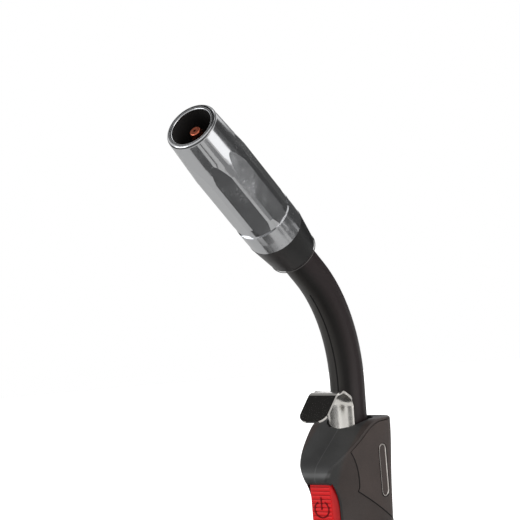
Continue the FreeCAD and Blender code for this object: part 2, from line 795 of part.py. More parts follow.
def handle_solid(name, inset, floor, rim_inset=None):
    """The handle's whole outer form, or the same form drawn in by a wall."""
    outer = body(name + "_bulk")
    slim = "top_front_half"
    drawn = [handle_section(outer, *section, inset) for section in (
        ("handle_length + top_rise", "top_half_width", "top_back", "top_front", slim, "back_corner"),
        ("nose_height", "nose_half_width", "nose_back", "nose_front", slim, "back_corner"),
        ("throat_height", "throat_half_width", "throat_back", "throat_front", slim, "back_corner"),
        ("trigger_side_height", "trigger_side_half_width", "trigger_side_back", "trigger_side_front",
         slim, "back_corner"),
        ("waist_height", "waist_half_width", "waist_back", "waist_front", "waist_front_half", "back_corner"),
        ("palm_height", "palm_half_width", "palm_back", "palm_front", "palm_front_half", "palm_corner"),
        (floor, "rear_half_width", "rear_back", "rear_front", "rear_front_half", "rear_corner"),
    )]
    loft = outer.newObject("PartDesign::AdditiveLoft", "loft")
    loft.Profile = drawn[0]
    loft.Sections = drawn[1:]
    return common(name, [outer, side_profile(name, inset if rim_inset is None else rim_inset)])


def side_profile(name, inset):
    """The handle seen from the side: top, brow, forehead, nose, the rim beside the trigger, finger stop."""
    owner = body(name + "_side")
    top = f"(handle_length - {inset})"
    reach = "top_front * 2"
    brow = f"(brow_round - {inset})"
    nose = f"(nose_round - {inset})"
    under = f"max(nose_under_round - {inset}; nose_under_round / 8)"
    rim = f"(rim_round + {inset})"
    brow_y = f"(-brow_start - {brow} * sin(brow_slope))"
    brow_z = f"({top} - {brow} * (1 - cos(brow_slope)))"
    slope_y = f"(-slope_end + {inset} * sin(brow_slope))"
    slope_z = f"({brow_z} + ({slope_y} - {brow_y}) * tan(brow_slope))"
    tip_y = f"({slope_y} + {nose} * (sin(brow_slope) - 1))"
    tip_z = f"({slope_z} - {nose} * cos(brow_slope))"
    middle_y = f"-(rim_middle - {inset})"
    low_y = f"-(rim_low - {inset})"
    outline = [
        ("top_front", f"-{reach}"),
        ("top_front", top),
        ("-brow_start", top),
        (brow_y, brow_z, brow),
        (slope_y, slope_z),
        (tip_y, tip_z, nose),
        (f"{tip_y} + {under}", f"{tip_z} - {under}", under),
        (middle_y, "rim_middle_height", "-" + rim),
        (low_y, "rim_low_height"),
        (f"-({reach})", f"rim_low_height - ({reach} + {low_y}) * tan(finger_stop_slope)"),
        (f"-({reach})", f"-{reach}"),
    ]
    extrude(owner, trace(sketch_on(owner, "YZ"), outline), "top_half_width * 3", both_ways=True)
    return owner


def half_space(name, side):
    """Everything on one side of the mirror plane."""
    low = "0" if side > 0 else "-handle_length"
    return block(name, (low, "-handle_length", "-handle_length"),
                 ("handle_length", "handle_length * 2", "handle_length * 3"))


def prism(name, outline):
    """An outline in the side view, carried right across the handle."""
    owner = body(name)
    extrude(owner, trace(sketch_on(owner, "YZ"), outline), "top_half_width * 4", both_ways=True)
    return owner


def cover_outline(gap):
    """The side cover seen from the side: a slim rim under the brow, the arc seam, the kink and the slant.

    Each corner moves in by the gap, shared between the two runs that meet there.
    """
    rim = f"(cover_rim + {gap})"
    top = f"(handle_length - {rim})"
    brow = f"(brow_round - {rim})"
    brow_y = f"(-brow_start - {brow} * sin(brow_slope))"
    brow_z = f"({top} - {brow} * (1 - cos(brow_slope)))"
    nose_y = f"(-cover_nose + {gap})"
    return [
        ("-brow_start", top),
        (brow_y, brow_z, brow),
        (nose_y, f"{brow_z} + ({nose_y} - {brow_y}) * tan(brow_slope)"),
        (f"-cover_kink_upper + {gap}", "cover_kink_upper_height", "-cover_arc_radius"),
        (f"-cover_kink + {gap}", f"cover_kink_height + {gap} / 2"),
        ("top_back * 2", f"cover_slope_height + {gap} * 3 / 2"),
        ("top_back * 2", top),
    ]


def badge_outline(gap):
    """A slim stadium that leans with the handle's back."""
    r = f"(badge_radius - {gap})"
    half = "(badge_length / 2 - badge_radius)"

    def place(a, b):
        return (f"badge_setback + ({a}) * cos(badge_tilt) - ({b}) * sin(badge_tilt)",
                f"badge_height + ({a}) * sin(badge_tilt) + ({b}) * cos(badge_tilt)")

    return [
        place(r, f"-{half}") + (r,),
        place(r, half),
        place("0", f"{half} + {r}") + (r,),
        place(f"-{r}", half) + (r,),
        place(f"-{r}", f"-{half}"),
        place("0", f"-{half} - {r}") + (r,),
    ]


def break_edges(name, base):
    """Breaks the rim where the handle's sides meet its top, forehead, nose and mouth."""
    doc.recompute()
    width = value("edge_break")
    chosen = []
    for number, edge in enumerate(base.Shape.Edges, start=1):
        faces = base.Shape.ancestorsOfType(edge, Part.Face)
        level = [f for f in faces if abs(f.normalAt(*f.Surface.parameter(edge.CenterOfMass)).x) < 1e-6
                 and isinstance(f.Surface, (Part.Plane, Part.Cylinder))]
        if len(faces) == 2 and len(level) == 1 and edge.CenterOfMass.z > value("waist_height"):
            chosen.append((number, width, width))
    made = doc.addObject("Part::Chamfer", name)
    made.Base = base
    made.Edges = chosen
    return made


def make_window():
    """The mouth in the handle's front that the trigger moves in."""
    owner = body("window")
    depth = "-switch_peg_back - switch_post_radius"
    narrow = "trigger_face_half + trigger_gap"
    wide = "trigger_half_width + trigger_gap"
    low = "trigger_foot_height - trigger_gap * 3"
    mouth = both_sides([
        (narrow, "-top_front * 2"),
        (narrow, "-trigger_flare_front"),
        (wide, "-trigger_flare_rear"),
        (wide, depth),
    ])
    extrude(owner, trace(sketch_on(owner, "XY", height=low), mouth),
            f"trigger_top_height - nose_under_round - trigger_gap * 2 - ({low})")
    behind_nose = both_sides([(wide, "-trigger_top - trigger_gap"), (wide, depth)])
    extrude(owner, trace(sketch_on(owner, "XY", height=low), behind_nose),
            f"trigger_top_height + trigger_gap * 5 - ({low})")
    return owner


def both_sides(edge):
    """An outline from its +X edge and the mirrored one."""
    return edge + [("-(" + x + ")", y) for x, y in reversed(edge)]


def support_ribs(core, half, side):
    """Plates across the cavity that seat the neck, the connector and the trigger's spring."""
    wide = "top_half_width"
    across = f"{wide} * 2"
    back = "(block_radius + rib_clear)"
    plates = []
    under_block = f"{BLOCK_BOTTOM} + rib_setback"
    over_block = f"{BLOCK_SHOULDER} - rib_setback - rib_thickness"
    for i, low in enumerate((under_block, over_block)):
        plates.append(block(f"block_rib_{i}_{side}", (f"-{wide}", f"-{back}", low),
                            (across, across, "rib_thickness")))
    at_neck = f"{SLEEVE_END} + rib_setback / 2"
    plates.append(block(f"neck_rib_{side}", (f"-{wide}", "-neck_rib_front", at_neck),
                        (across, across, "rib_thickness")))
    at_spring = "spring_height - spring_seat_half_height"
    plates.append(block(f"spring_rib_{side}", (f"-{wide}", "-spring_seat", at_spring),
                        (across, "spring_seat_thickness", "spring_seat_half_height * 2")))
    ring = cylinder(f"neck_ring_{side}", "neck_radius + hook_gap + hook_thickness + neck_ring_wall",
                    "neck_ring_height", ("0", "0", "handle_length - neck_ring_height"))
    return common(f"ribs_{side}", [fuse(f"plates_{side}", plates + [ring]), core, half])


def screw_bosses(core, half, side):
    """A boss at each screw, and the posts that stand against the switch."""
    outside = "-top_half_width"
    bars = [cylinder(f"boss_{i}_{side}", "boss_radius", "top_half_width * 2", (outside, y, z), "X")
            for i, (y, z) in enumerate(SCREW_SEATS)]
    start = "switch_half_width" if side == "right" else outside
    posts = [cylinder(f"post_{i}_{side}", "switch_post_radius", "top_half_width - switch_half_width",
                      (start, "-switch_peg_back", height), "X")
             for i, height in enumerate(SWITCH_PEGS)]
    kept = common(f"bosses_{side}", [fuse(f"boss_bars_{side}", bars), core, half])
    held = common(f"posts_{side}", [fuse(f"post_bars_{side}", posts), core])
    if side == "left":
        return [kept, held]
    pegs = [cylinder(f"peg_{i}", "switch_peg_radius", "switch_half_width * 2",
                     ("-switch_half_width", "-switch_peg_back", height), "X")
            for i, height in enumerate(SWITCH_PEGS)]
    return [kept, held] + pegs


def shell_cutters(side):
    """Everything that is cut away from both the wall and what stands inside it."""
    everything = "handle_length"
    tools = [
        cylinder(f"neck_bore_{side}", "neck_radius + hook_gap + hook_thickness + hook_clear",
                 "neck_ring_height * 2", ("0", "0", "handle_length - neck_ring_height")),
        cylinder(f"hook_pocket_{side}", "neck_radius + hook_gap + hook_thickness + hook_pocket_clear",
                 "neck_ring_height", ("0", "0", "handle_length - hook_pocket_depth")),
        cylinder(f"neck_seat_{side}", "neck_radius + fit_gap", "neck_ring_height * 2",
                 ("0", "0", SLEEVE_END)),
        cylinder(f"block_seat_{side}", "block_radius + fit_gap / 2",
                 f"{BLOCK_SHOULDER} - {BLOCK_BOTTOM} + rib_thickness * 2",
                 ("0", "0", f"{BLOCK_BOTTOM} - rib_thickness")),
        cylinder(f"bush_seat_{side}", "bush_radius + fit_gap / 2", "collar_length + collar_lip * 2",
                 ("0", "0", "-collar_lip")),
        block(f"lip_room_{side}", (f"-{everything}", f"-{everything}", f"-{everything}"),
              (f"{everything} * 2", f"{everything} * 2", f"{everything} + collar_lip")),
        cut(f"collar_room_{side}",
            cylinder(f"collar_outer_{side}", "top_half_width * 2", "collar_length", ("0", "0", "0")),
            cylinder(f"collar_inner_{side}", "spigot_radius", "collar_length", ("0", "0", "0"))),
        cylinder(f"pin_hole_{side}", "pivot_pin_radius + fit_gap / 2",
                 "(pivot_pin_half_length + fit_gap) * 2",
                 ("-pivot_pin_half_length - fit_gap", "-pivot_forward", "pivot_height"), "X"),
    ]
    for i, (y, z) in enumerate(SCREW_SEATS):
        if side == "right":
            tools.append(cylinder(f"screw_hole_{i}", "screw_radius + screw_bite",
                                  "screw_length - screw_head_length - screw_head_inset + screw_end_room",
                                  ("0", y, z), "X"))
        else:
            tools.append(cylinder(f"screw_way_{i}", "screw_radius + screw_clear",
                                  "screw_head_inset + screw_head_length",
                                  ("-screw_head_inset - screw_head_length", y, z), "X"))
            tools.append(cylinder(f"screw_well_{i}", "screw_head_radius + screw_clear",
                                  "top_half_width * 2",
                                  ("-top_half_width * 2 - screw_head_inset", y, z), "X"))
    return tools


def make_shells(envelope, halves, recess):
    """The two halves: a wall, with ribs and bosses inside it, less every bore, seat and recess."""
    core = handle_solid("core", "shell_wall", "collar_length + top_rise / 2")
    wall = cut("wall", envelope, core)
    window = make_window()
    for side, half in halves.items():
        skin = common(f"{side}_wall", [wall, half])
        inside = [support_ribs(core, half, side)] + screw_bosses(core, half, side)
        solid = fuse(f"{side}_solid", [skin] + inside)
        tools = fuse(f"{side}_tools", shell_cutters(side) + [recess, window])
        node(cut(f"{side}_shell", solid, tools), f"{side}_shell")


def make_covers(envelope, halves, seat):
    """The side covers, and the bare plate in the recess of the right one."""
    drawn_in = prism("cover_prism", cover_outline("cover_gap"))
    skins = cut("skins", common("cover_block", [envelope, drawn_in]), seat)
    node(common("left_cover", [skins, halves["left"]]), "left_side_cover")
    floor = handle_solid("badge_floor", "badge_depth", "0")
    top = handle_solid("badge_top", "(badge_depth - badge_plate_thickness)", "0")
    pocket = cut("badge_pocket", prism("badge_prism", badge_outline("0")), floor)
    bare = common("right_cover", [skins, halves["right"]])
    node(cut("right_side_cover", bare, pocket), "right_side_cover")
    plate = common("badge_slab", [top, prism("plate_prism", badge_outline("fit_gap")), halves["right"]])
    node(cut("badge_plate", plate, floor), "badge_plate")


def make_screws():
    screws = []
    for i, (y, z) in enumerate(SCREW_SEATS):
        shank = cylinder(f"shank_{i}", "screw_radius", "screw_length - screw_head_length",
                         ("-screw_head_inset", y, z), "X")
        head = cylinder(f"head_{i}", "screw_head_radius", "screw_head_length",
                        ("-screw_head_inset - screw_head_length", y, z), "X")
        screws.append(fuse(f"screw_{i}", [shank, head]))
    group = doc.addObject("Part::Compound", "shell_screws")
    group.Links = screws
    node(group, "shell_screws")


def make_handle():
    envelope = break_edges("envelope", handle_solid("form", "0", "0"))
    seat = handle_solid("cover_seat", "cover_thickness", "0", rim_inset="0")
    halves = {"right": half_space("right_half", 1), "left": half_space("left_half", -1)}
    recess = cut("cover_recess", prism("recess_prism", cover_outline("0")), seat)
    make_shells(envelope, halves, recess)
    make_covers(envelope, halves, seat)
    make_screws()


def make_rear():
    """The collar that binds the shells at the hose end, and the bush inside it."""
    floor = "collar_lip - fit_gap"
    mouth = "collar_length - collar_gap"
    collar = revolve("rear_collar", [
        ("bush_radius + fit_gap", "0"),
        ("collar_end_radius - collar_edge_round", "0"),
        ("collar_end_radius", "collar_edge_round", "collar_edge_round"),
        ("collar_radius", "collar_taper_end"),
        ("collar_radius", mouth),
        ("spigot_radius + fit_gap", mouth),
        ("spigot_radius + fit_gap", floor),
        ("bush_radius + fit_gap", floor),
    ])
    flute = circle(sketch_on(collar, "XY"), "collar_radius + collar_flute_radius - collar_flute_depth", "0",
                   "collar_flute_radius")
    milled = extrude(collar, flute, "collar_flute_length", "PartDesign::Pocket", backwards=True)
    around(collar, milled, "collar_flute_count")
    node(collar, "rear_collar")
    node(revolve("hose_bush", box_outline("hose_radius", "bush_radius", "0", "bush_length")), "hose_bush")


def saddle(inner, outer, half):
    """A slice of a ring that wraps the front of the neck."""
    return [
        (f"-{inner} * sin({half})", f"-{inner} * cos({half})"),
        (f"{inner} * sin({half})", f"-{inner} * cos({half})", inner),
        (f"{outer} * sin({half})", f"-{outer} * cos({half})"),
        (f"-{outer} * sin({half})", f"-{outer} * cos({half})", "-" + outer),
    ]


def hook_section(hook, share, half_width, curve):
    """A section of the hook's sheet on a plane that stands across the bend, at a share of its angle."""
    turn = f"(90 + hook_top_slope) * {share}"
    made = hook.newObject("Sketcher::SketchObject", "section")
    made.Placement = FreeCAD.Placement(
        FreeCAD.Vector(0, 0, 0), FreeCAD.Rotation(FreeCAD.Vector(1, 0, 0), value(turn)))
    bind(made, Placement__Base__y=HOOK_CENTRE[0], Placement__Base__z=HOOK_CENTRE[1],
         Placement__Rotation__Angle=turn)
    near = f"({curve} - hook_thickness / 2)"
    far = f"({curve} + hook_thickness / 2)"
    near_y = f"hook_bend_radius + {curve} - sqrt({near}^2 - ({half_width})^2)"
    far_y = f"hook_bend_radius + {curve} - sqrt({far}^2 - ({half_width})^2)"
    return trace(made, [
        (f"-({half_width})", near_y),
        (half_width, near_y, near),
        (half_width, far_y),
        (f"-({half_width})", far_y, "-" + far),
    ])


def hook_strip():
    """The side view of the hook past its bend: a short top, a fold and the slanted tongue."""
    first = "(90 + hook_top_slope)"
    second = "(90 + hook_slope)"
    y, z = HOOK_CENTRE
    top = (f"({y} + hook_bend_radius * cos{first} - hook_top_run * cos(hook_top_slope))",
           f"({z} + hook_bend_radius * sin{first} - hook_top_run * sin(hook_top_slope))")
    fold = (f"({top[0]} - hook_fold_radius * cos{first})", f"({top[1]} - hook_fold_radius * sin{first})")

    def face(side):
        """One face of the sheet, at half its thickness from the middle line."""
        off = f"({side} * hook_thickness / 2)"
        bend = f"(hook_bend_radius + {off})"
        turn = f"(hook_fold_radius + {off})"
        end_y = f"{fold[0]} + {turn} * cos{second} - hook_tongue * cos(hook_slope)"
        end_z = f"{fold[1]} + {turn} * sin{second} - hook_tongue * sin(hook_slope)"
        return [
            (f"{y} + {bend} * cos{first}", f"{z} + {bend} * sin{first}"),
            (f"{fold[0]} + {turn} * cos{first}", f"{fold[1]} + {turn} * sin{first}"),
            (f"{fold[0]} + {turn} * cos{second}", f"{fold[1]} + {turn} * sin{second}", turn),
            (end_y, end_z),
        ]

    outside = face("1")
    start, fold_start, fold_end, tip = face("-1")
    return outside + [tip, fold_end[:2], fold_start + ("-" + fold_end[2],), start]


def make_hook():
    """The sheet-metal hanging hook: a saddle on the neck, a bend that flattens it, and the bent strip."""
    inner = "(neck_radius + hook_gap)"
    outer = "(neck_radius + hook_gap + hook_thickness)"
    bottom = "handle_length - hook_depth"
    hook = body("hanging_hook")
    extrude(hook, trace(sketch_on(hook, "XY", height=bottom), saddle(inner, outer, "hook_half_angle")),
            "hook_depth + hook_saddle_rise")
    foot_edge = "(neck_radius + hook_gap + hook_thickness + hook_foot)"
    foot = trace(sketch_on(hook, "XY", height=bottom), saddle(inner, foot_edge, "hook_half_angle / 2"))
    extrude(hook, foot, "hook_thickness")
    sections = [trace(sketch_on(hook, "XY", height=f"handle_length + {rise}"),
                      saddle(inner, outer, "hook_half_angle"))
                for rise in ("hook_saddle_rise", "hook_leg_rise")]
    sections.append(hook_section(hook, 0.26, "hook_half_width * 0.95", "neck_radius * 2.4"))
    for share in (0.52, 0.76, 1):
        sections.append(hook_section(hook, share, "hook_half_width", "neck_radius * 400"))
    bend = hook.newObject("PartDesign::AdditiveLoft", "bend")
    bend.Profile = sections[0]
    bend.Sections = sections[1:]
    strip = extrude(hook, trace(sketch_on(hook, "YZ"), hook_strip()), "hook_half_width * 2", both_ways=True)
    doc.recompute()
    lowest = min(v.Point.y for v in strip.Shape.Vertexes)
    corners = [f"Edge{i}" for i, e in enumerate(strip.Shape.Edges, start=1)
               if abs(e.Length - value("hook_thickness")) < 1e-3
               and e.CenterOfMass.y < lowest + value("hook_thickness")]
    rounded = hook.newObject("PartDesign::Fillet", "rounded")
    rounded.Base = (strip, corners)
    bind(rounded, Radius="hook_corner")
    node(hook, "hanging_hook")


# Trigger and switch

def make_trigger():
    """The rocking trigger, hollow behind its face, with a pusher and a boss for its spring."""
    side = prism("trigger_side", [
        ("-trigger_top", "trigger_top_height"),
        ("-trigger_upper", "trigger_upper_height"),
        ("-trigger_low", "trigger_low_height", "trigger_length_round"),
        ("-trigger_foot", "trigger_foot_height", "trigger_foot_round"),
        ("-pivot_forward + pivot_hub_radius / 2", "trigger_foot_height"),
        ("-pivot_forward + pivot_hub_radius", "pivot_height"),
        ("-trigger_back_top", "trigger_top_height"),
    ])
    plan = body("trigger_plan")
    extrude(plan, trace(sketch_on(plan, "XY"), both_sides([
        ("trigger_face_half - trigger_face_round", "-trigger_top - trigger_face_round"),
        ("trigger_face_half", "-trigger_flare_front"),
        ("trigger_half_width", "-trigger_flare_rear"),
        ("trigger_half_width", "-pivot_forward + pivot_hub_radius * 2"),
    ])), "handle_length")
    hollow = body("trigger_hollow")
    web_top = "pivot_height + pivot_hub_radius + trigger_wall"
    inside = trace(sketch_on(hollow, "YZ"), [
        ("-trigger_top + trigger_wall", "trigger_top_height - trigger_wall"),
        ("-trigger_upper + trigger_wall", "trigger_upper_height"),
        ("-trigger_low + trigger_wall", web_top, "trigger_length_round"),
        ("0", web_top),
        ("0", "trigger_top_height - trigger_wall"),
    ])
    extrude(hollow, inside, "(trigger_half_width - trigger_wall) * 2", both_ways=True)
    pin_hole = cylinder("trigger_pin_hole", "pivot_pin_radius + fit_gap", "top_half_width * 2",
                        ("-top_half_width", "-pivot_forward", "pivot_height"), "X")
    lever = cut("lever", common("lever_block", [side, plan]), fuse("lever_tools", [hollow, pin_hole]))
    root = "-trigger_upper + trigger_wall / 2"
    pusher = block("pusher", ("-pusher_half_width", root, "plunger_height - pusher_height / 2"),
                   ("pusher_half_width * 2", f"-{SWITCH_FRONT} - plunger_reach - fit_gap - ({root})",
                    "pusher_height"))
    boss = cylinder("spring_boss", "spring_boss_radius", "spring_boss_length",
                    ("0", "-spring_front - spring_boss_length", "spring_height"), "Y")
    node(fuse("trigger", [lever, pusher, boss]), "trigger")
    node(cylinder("trigger_pin", "pivot_pin_radius", "pivot_pin_half_length * 2",
                  ("-pivot_pin_half_length", "-pivot_forward", "pivot_height"), "X"), "trigger_pin")


def make_switch():
    """The micro switch on its pegs, with its plunger, two blades, two leads and their plug."""
    case = block("switch_case", ("-switch_half_width", f"-{SWITCH_FRONT}", "switch_bottom"),
                 ("switch_half_width * 2", "switch_depth", "switch_length"))
    holes = [cylinder("plunger_hole", "plunger_radius + fit_gap", "plunger_well + plunger_reach",
                      ("0", f"-{SWITCH_FRONT} - plunger_reach", "plunger_height"), "Y")]
    for i, height in enumerate(SWITCH_PEGS):
        holes.append(cylinder(f"peg_hole_{i}", "switch_peg_radius + fit_gap / 2", "switch_half_width * 4",
                              ("-switch_half_width * 2", "-switch_peg_back", height), "X"))
    node(cut("switch_body", case, fuse("switch_holes", holes)), "switch_body")
    node(cylinder("switch_plunger", "plunger_radius", "plunger_length",
                  ("0", f"-{SWITCH_FRONT} - plunger_reach", "plunger_height"), "Y"), "switch_plunger")
    blade_low = "switch_bottom - terminal_length"
    plug_top = "lead_plug_bottom + lead_plug_length"
    lead_y = "-switch_back - terminal_width / 2"
    blades, leads, ways = [], [], []
    for i, middle in enumerate(("-terminal_half_spacing", "terminal_half_spacing")):
        blades.append(block(f"blade_{i}", (f"{middle} - terminal_thickness / 2",
                                           "-switch_back - terminal_width", blade_low),
                            ("terminal_thickness", "terminal_width", "terminal_length")))
        leads.append(cylinder(f"lead_{i}", "lead_radius", f"{blade_low} - ({plug_top})",
                              (middle, lead_y, plug_top)))
        ways.append(cylinder(f"lead_way_{i}", "lead_plug_way_radius", "lead_plug_length / 2",
                             (middle, lead_y, "lead_plug_bottom")))
    terminals = doc.addObject("Part::Compound", "switch_terminals")
    terminals.Links = blades
    node(terminals, "switch_terminals")
    pair = doc.addObject("Part::Compound", "switch_leads")
    pair.Links = leads
    node(pair, "switch_leads")
    corner = ("-lead_plug_half_width", "-lead_plug_back - lead_plug_depth", "lead_plug_bottom")
    shroud = block("plug_shroud", corner,
                   ("lead_plug_half_width * 2", "lead_plug_depth", "lead_plug_length"))
    node(cut("lead_plug", shroud, fuse("plug_ways", ways)), "lead_plug")


def make_spring():
    """The return spring: one wire in quarter turns between the trigger's boss and its seat."""
    radius = value("spring_radius")
    wire = value("spring_wire_radius")
    height = value("spring_height")
    low = -value("spring_front") + wire
    high = -value("spring_seat") - wire
    steps = int(value("spring_turns")) * 8
    points = []
    for k in range(steps + 1):
        angle = math.pi * k / 4
        along = low + (high - low) * k / steps
        points.append(FreeCAD.Vector(radius * math.cos(angle), along, height + radius * math.sin(angle)))
    arcs = [Part.Arc(*points[k:k + 3]).toShape() for k in range(0, steps, 2)]
    section = Part.Circle(points[0], arcs[0].tangentAt(arcs[0].FirstParameter), wire).toShape()
    made = doc.addObject("Part::Feature", "trigger_spring")
    made.Shape = Part.Wire(arcs).makePipeShell([Part.Wire(section)], True, True)
    apart = min(p.distanceToPoint(q) for i, p in enumerate(points) for q in points[i + 6:])
    print(f"trigger_spring: least gap to itself {apart - wire * 2:.2f} mm")
    return node(made, "trigger_spring")


def make_all():
    make_neck()
    make_neck_head()
    make_insulating_ring()
    make_nozzle()
    make_tip()
    make_neck_plug()
    make_neck_nut()
    make_connector_block()
    make_handle()
    make_rear()
    make_hook()
    make_trigger()
    make_switch()
    make_spring()


def check_and_export():
    """Stops on any failed object, then writes each sub-part to its own file."""
    doc.recompute()
    for obj in doc.Objects:
        if "Invalid" in obj.State or "Error" in obj.State:
            raise RuntimeError(f"{obj.Name} ({obj.Label}) failed: {obj.State}")
    os.makedirs("parts", exist_ok=True)
    for obj in NODES:
        if obj.Shape.isNull() or not obj.Shape.isValid():
            raise RuntimeError(f"{obj.Label} has no valid shape")
        obj.Shape.exportStep(f"parts/{obj.Label}.step")
        print(f"{obj.Label}: {len(obj.Shape.Solids)} solid(s), {obj.Shape.Volume:.1f} mm3")


make_all()
check_and_export()
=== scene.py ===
"""A MIG welding torch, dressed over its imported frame: plating, mouldings, trigger ribs, seams and stage."""

import math

import bmesh
import bpy
from mathutils import Matrix, Vector


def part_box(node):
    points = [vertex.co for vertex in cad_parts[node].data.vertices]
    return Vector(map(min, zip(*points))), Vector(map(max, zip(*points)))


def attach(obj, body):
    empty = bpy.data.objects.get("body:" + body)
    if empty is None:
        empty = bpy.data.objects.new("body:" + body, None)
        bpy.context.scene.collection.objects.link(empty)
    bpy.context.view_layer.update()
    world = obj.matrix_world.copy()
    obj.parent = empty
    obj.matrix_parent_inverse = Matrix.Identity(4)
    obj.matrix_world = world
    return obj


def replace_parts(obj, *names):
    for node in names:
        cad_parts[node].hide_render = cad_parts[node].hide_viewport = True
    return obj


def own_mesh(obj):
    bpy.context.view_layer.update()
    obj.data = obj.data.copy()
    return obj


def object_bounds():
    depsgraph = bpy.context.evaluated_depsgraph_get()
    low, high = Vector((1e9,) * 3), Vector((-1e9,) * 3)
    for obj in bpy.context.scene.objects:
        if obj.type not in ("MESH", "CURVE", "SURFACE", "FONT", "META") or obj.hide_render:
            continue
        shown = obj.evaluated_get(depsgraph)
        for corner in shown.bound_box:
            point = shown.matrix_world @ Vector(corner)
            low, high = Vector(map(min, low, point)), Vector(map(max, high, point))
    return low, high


bl_info = {
    "name": "MIG torch dresser",
    "version": (1, 0, 0),
    "blender": (4, 5, 0),
    "location": "3D View > Sidebar > Torch",
    "description": "Finishes and fine detail of a gas-cooled MIG welding torch",
    "category": "Object",
}

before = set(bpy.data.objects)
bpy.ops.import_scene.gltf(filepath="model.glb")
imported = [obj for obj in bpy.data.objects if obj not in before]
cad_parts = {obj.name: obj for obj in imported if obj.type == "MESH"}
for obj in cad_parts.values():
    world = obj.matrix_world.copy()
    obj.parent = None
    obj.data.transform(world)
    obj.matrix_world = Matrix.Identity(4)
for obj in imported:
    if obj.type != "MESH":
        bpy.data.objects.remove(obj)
TORCH_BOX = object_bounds()

MM = 0.001
OUTSIDE = 0.2  # a distance in metres that lies well outside the torch


def linear(shade):
    """The linear colour of an sRGB hex shade, with full alpha."""
    parts = [int(shade[i:i + 2], 16) / 255 for i in (1, 3, 5)]
    return tuple(p / 12.92 if p <= 0.04045 else ((p + 0.055) / 1.055) ** 2.4 for p in parts) + (1.0,)


def colour(shade, label, tip):
    """A property that holds a colour."""
    return bpy.props.FloatVectorProperty(
        name=label, description=tip, subtype="COLOR", size=4, min=0, max=1, default=linear(shade))


def length(millimetres, label, tip):
    """A property that holds a length."""
    return bpy.props.FloatProperty(
        name=label, description=tip, unit="LENGTH", subtype="DISTANCE", min=0, precision=5,
        default=millimetres * MM)


def angle(degrees, label, tip):
    """A property that holds an angle."""
    return bpy.props.FloatProperty(
        name=label, description=tip, unit="ROTATION", subtype="ANGLE", default=math.radians(degrees))


class TorchSizes(bpy.types.PropertyGroup):
    """Where the neck runs, and how big the fine detail is."""
    neck_radius: length(8.0, "Neck radius", "Outer radius of the neck's jacket")
    bend_start: length(148.2, "Bend start", "Height at which the neck starts to bend")
    bend_radius: length(70.0, "Bend radius", "Radius of the neck's middle line")
    bend: angle(50.0, "Bend", "How far the neck turns towards the work")
    front_run: length(15.9, "Front run", "Straight length between the bend and the ring")
    mouth: length(107.8, "Mouth", "Distance along the front axis from the bend to the mouth")
    mouth_bore: length(9.75, "Mouth bore", "Radius of the nozzle's opening")
    mouth_outer: length(11.35, "Mouth outer", "Radius at which the mouth's outer round begins")
    bore_radius: length(11.8, "Bore radius", "Radius that the stained bore reaches behind the mouth")
    rim_bead: length(0.45, "Rim bead", "Radius of the rubbed bead round the inside of the mouth")
    lip_radius: length(11.2, "Lip radius", "Radius of the insulating ring's rear lip")
    # The bead on the lip carries a painted highlight.
    lip_highlight_bead: length(0.2, "Lip bead", "Radius of the bead on that lip")
    seam_turn: angle(44.5, "Seam turn", "How far round the bend the neck's parting lines run")
    seam_width: length(0.75, "Seam width", "Width of the parting line on the neck's jacket")
    rib_pitch: length(1.9, "Rib pitch", "Distance between the trigger's ribs")
    rib_width: length(1.5, "Rib width", "Width of one rib")
    rib_rise: length(0.3, "Rib rise", "How far a rib stands above the trigger's face")
    rib_half_length: length(5.1, "Rib half length", "Half of a rib's length")
    rib_start: length(5.0, "Rib start", "How far the lowest rib stands above the trigger's lower end")
    rib_end: length(1.2, "Rib end", "Least distance of the highest rib from the trigger's upper end")
    mark_height: length(94.3, "Mark height", "Height of the middle of the standby sign")
    mark_radius: length(3.75, "Mark radius", "Radius of the standby sign's ring")
    mark_stroke: length(0.64, "Mark stroke", "Width of the standby sign's lines")
    mark_rise: length(0.42, "Mark rise", "How far the standby sign stands above the trigger's face")
    mark_bar: length(5.7, "Mark bar", "Length of the standby sign's upright stroke")
    mark_gap: angle(28.0, "Mark gap", "Half of the opening at the top of the standby sign's ring")
    # The ridge above the trigger carries a painted highlight.
    nose_height: length(110.4, "Nose height", "Height of the ridge above the trigger, which gloves rub")
    nose_front: length(31.9, "Nose front", "How far that ridge stands ahead of the neck's axis")
    corner_low: length(104.0, "Corner low", "Height at which the handle's front starts to widen")
    corner_high: length(118.0, "Corner high", "Height at which it is at its widest")
    narrow_front: length(7.4, "Narrow front", "Half of the front's width at its narrowest")
    wide_front: length(11.4, "Wide front", "Half of the front's width at its widest")
    badge_height: length(108.2, "Badge height", "Height of the middle of the badge")
    badge_back: length(0.8, "Badge back", "How far the badge's middle lies behind the neck's axis")
    hook_edge: length(0.16, "Hook edge", "Width of the tumbled round on the hook's edges")
    # The seal is a dark strip laid in the gap round the covers' front, as painted shadow of that gap.
    gap_shadow_radius: length(0.24, "Gasket radius", "Radius of the thin seal round the covers' front")
    gap_shadow_top: length(119.5, "Gasket top", "Height at which that seal ends")
    gap_shadow_back: length(9.0, "Gasket back", "How far behind the neck's axis that seal ends")
    badge_tilt: angle(3.8, "Badge tilt", "How far the badge leans with the handle's back")
    badge_half: length(9.5, "Badge half", "Half of the straight run of the badge's outline")
    badge_radius: length(2.55, "Badge radius", "Radius of the outline's round ends")
    badge_bead: length(0.32, "Badge bead", "Radius of the raised outline")


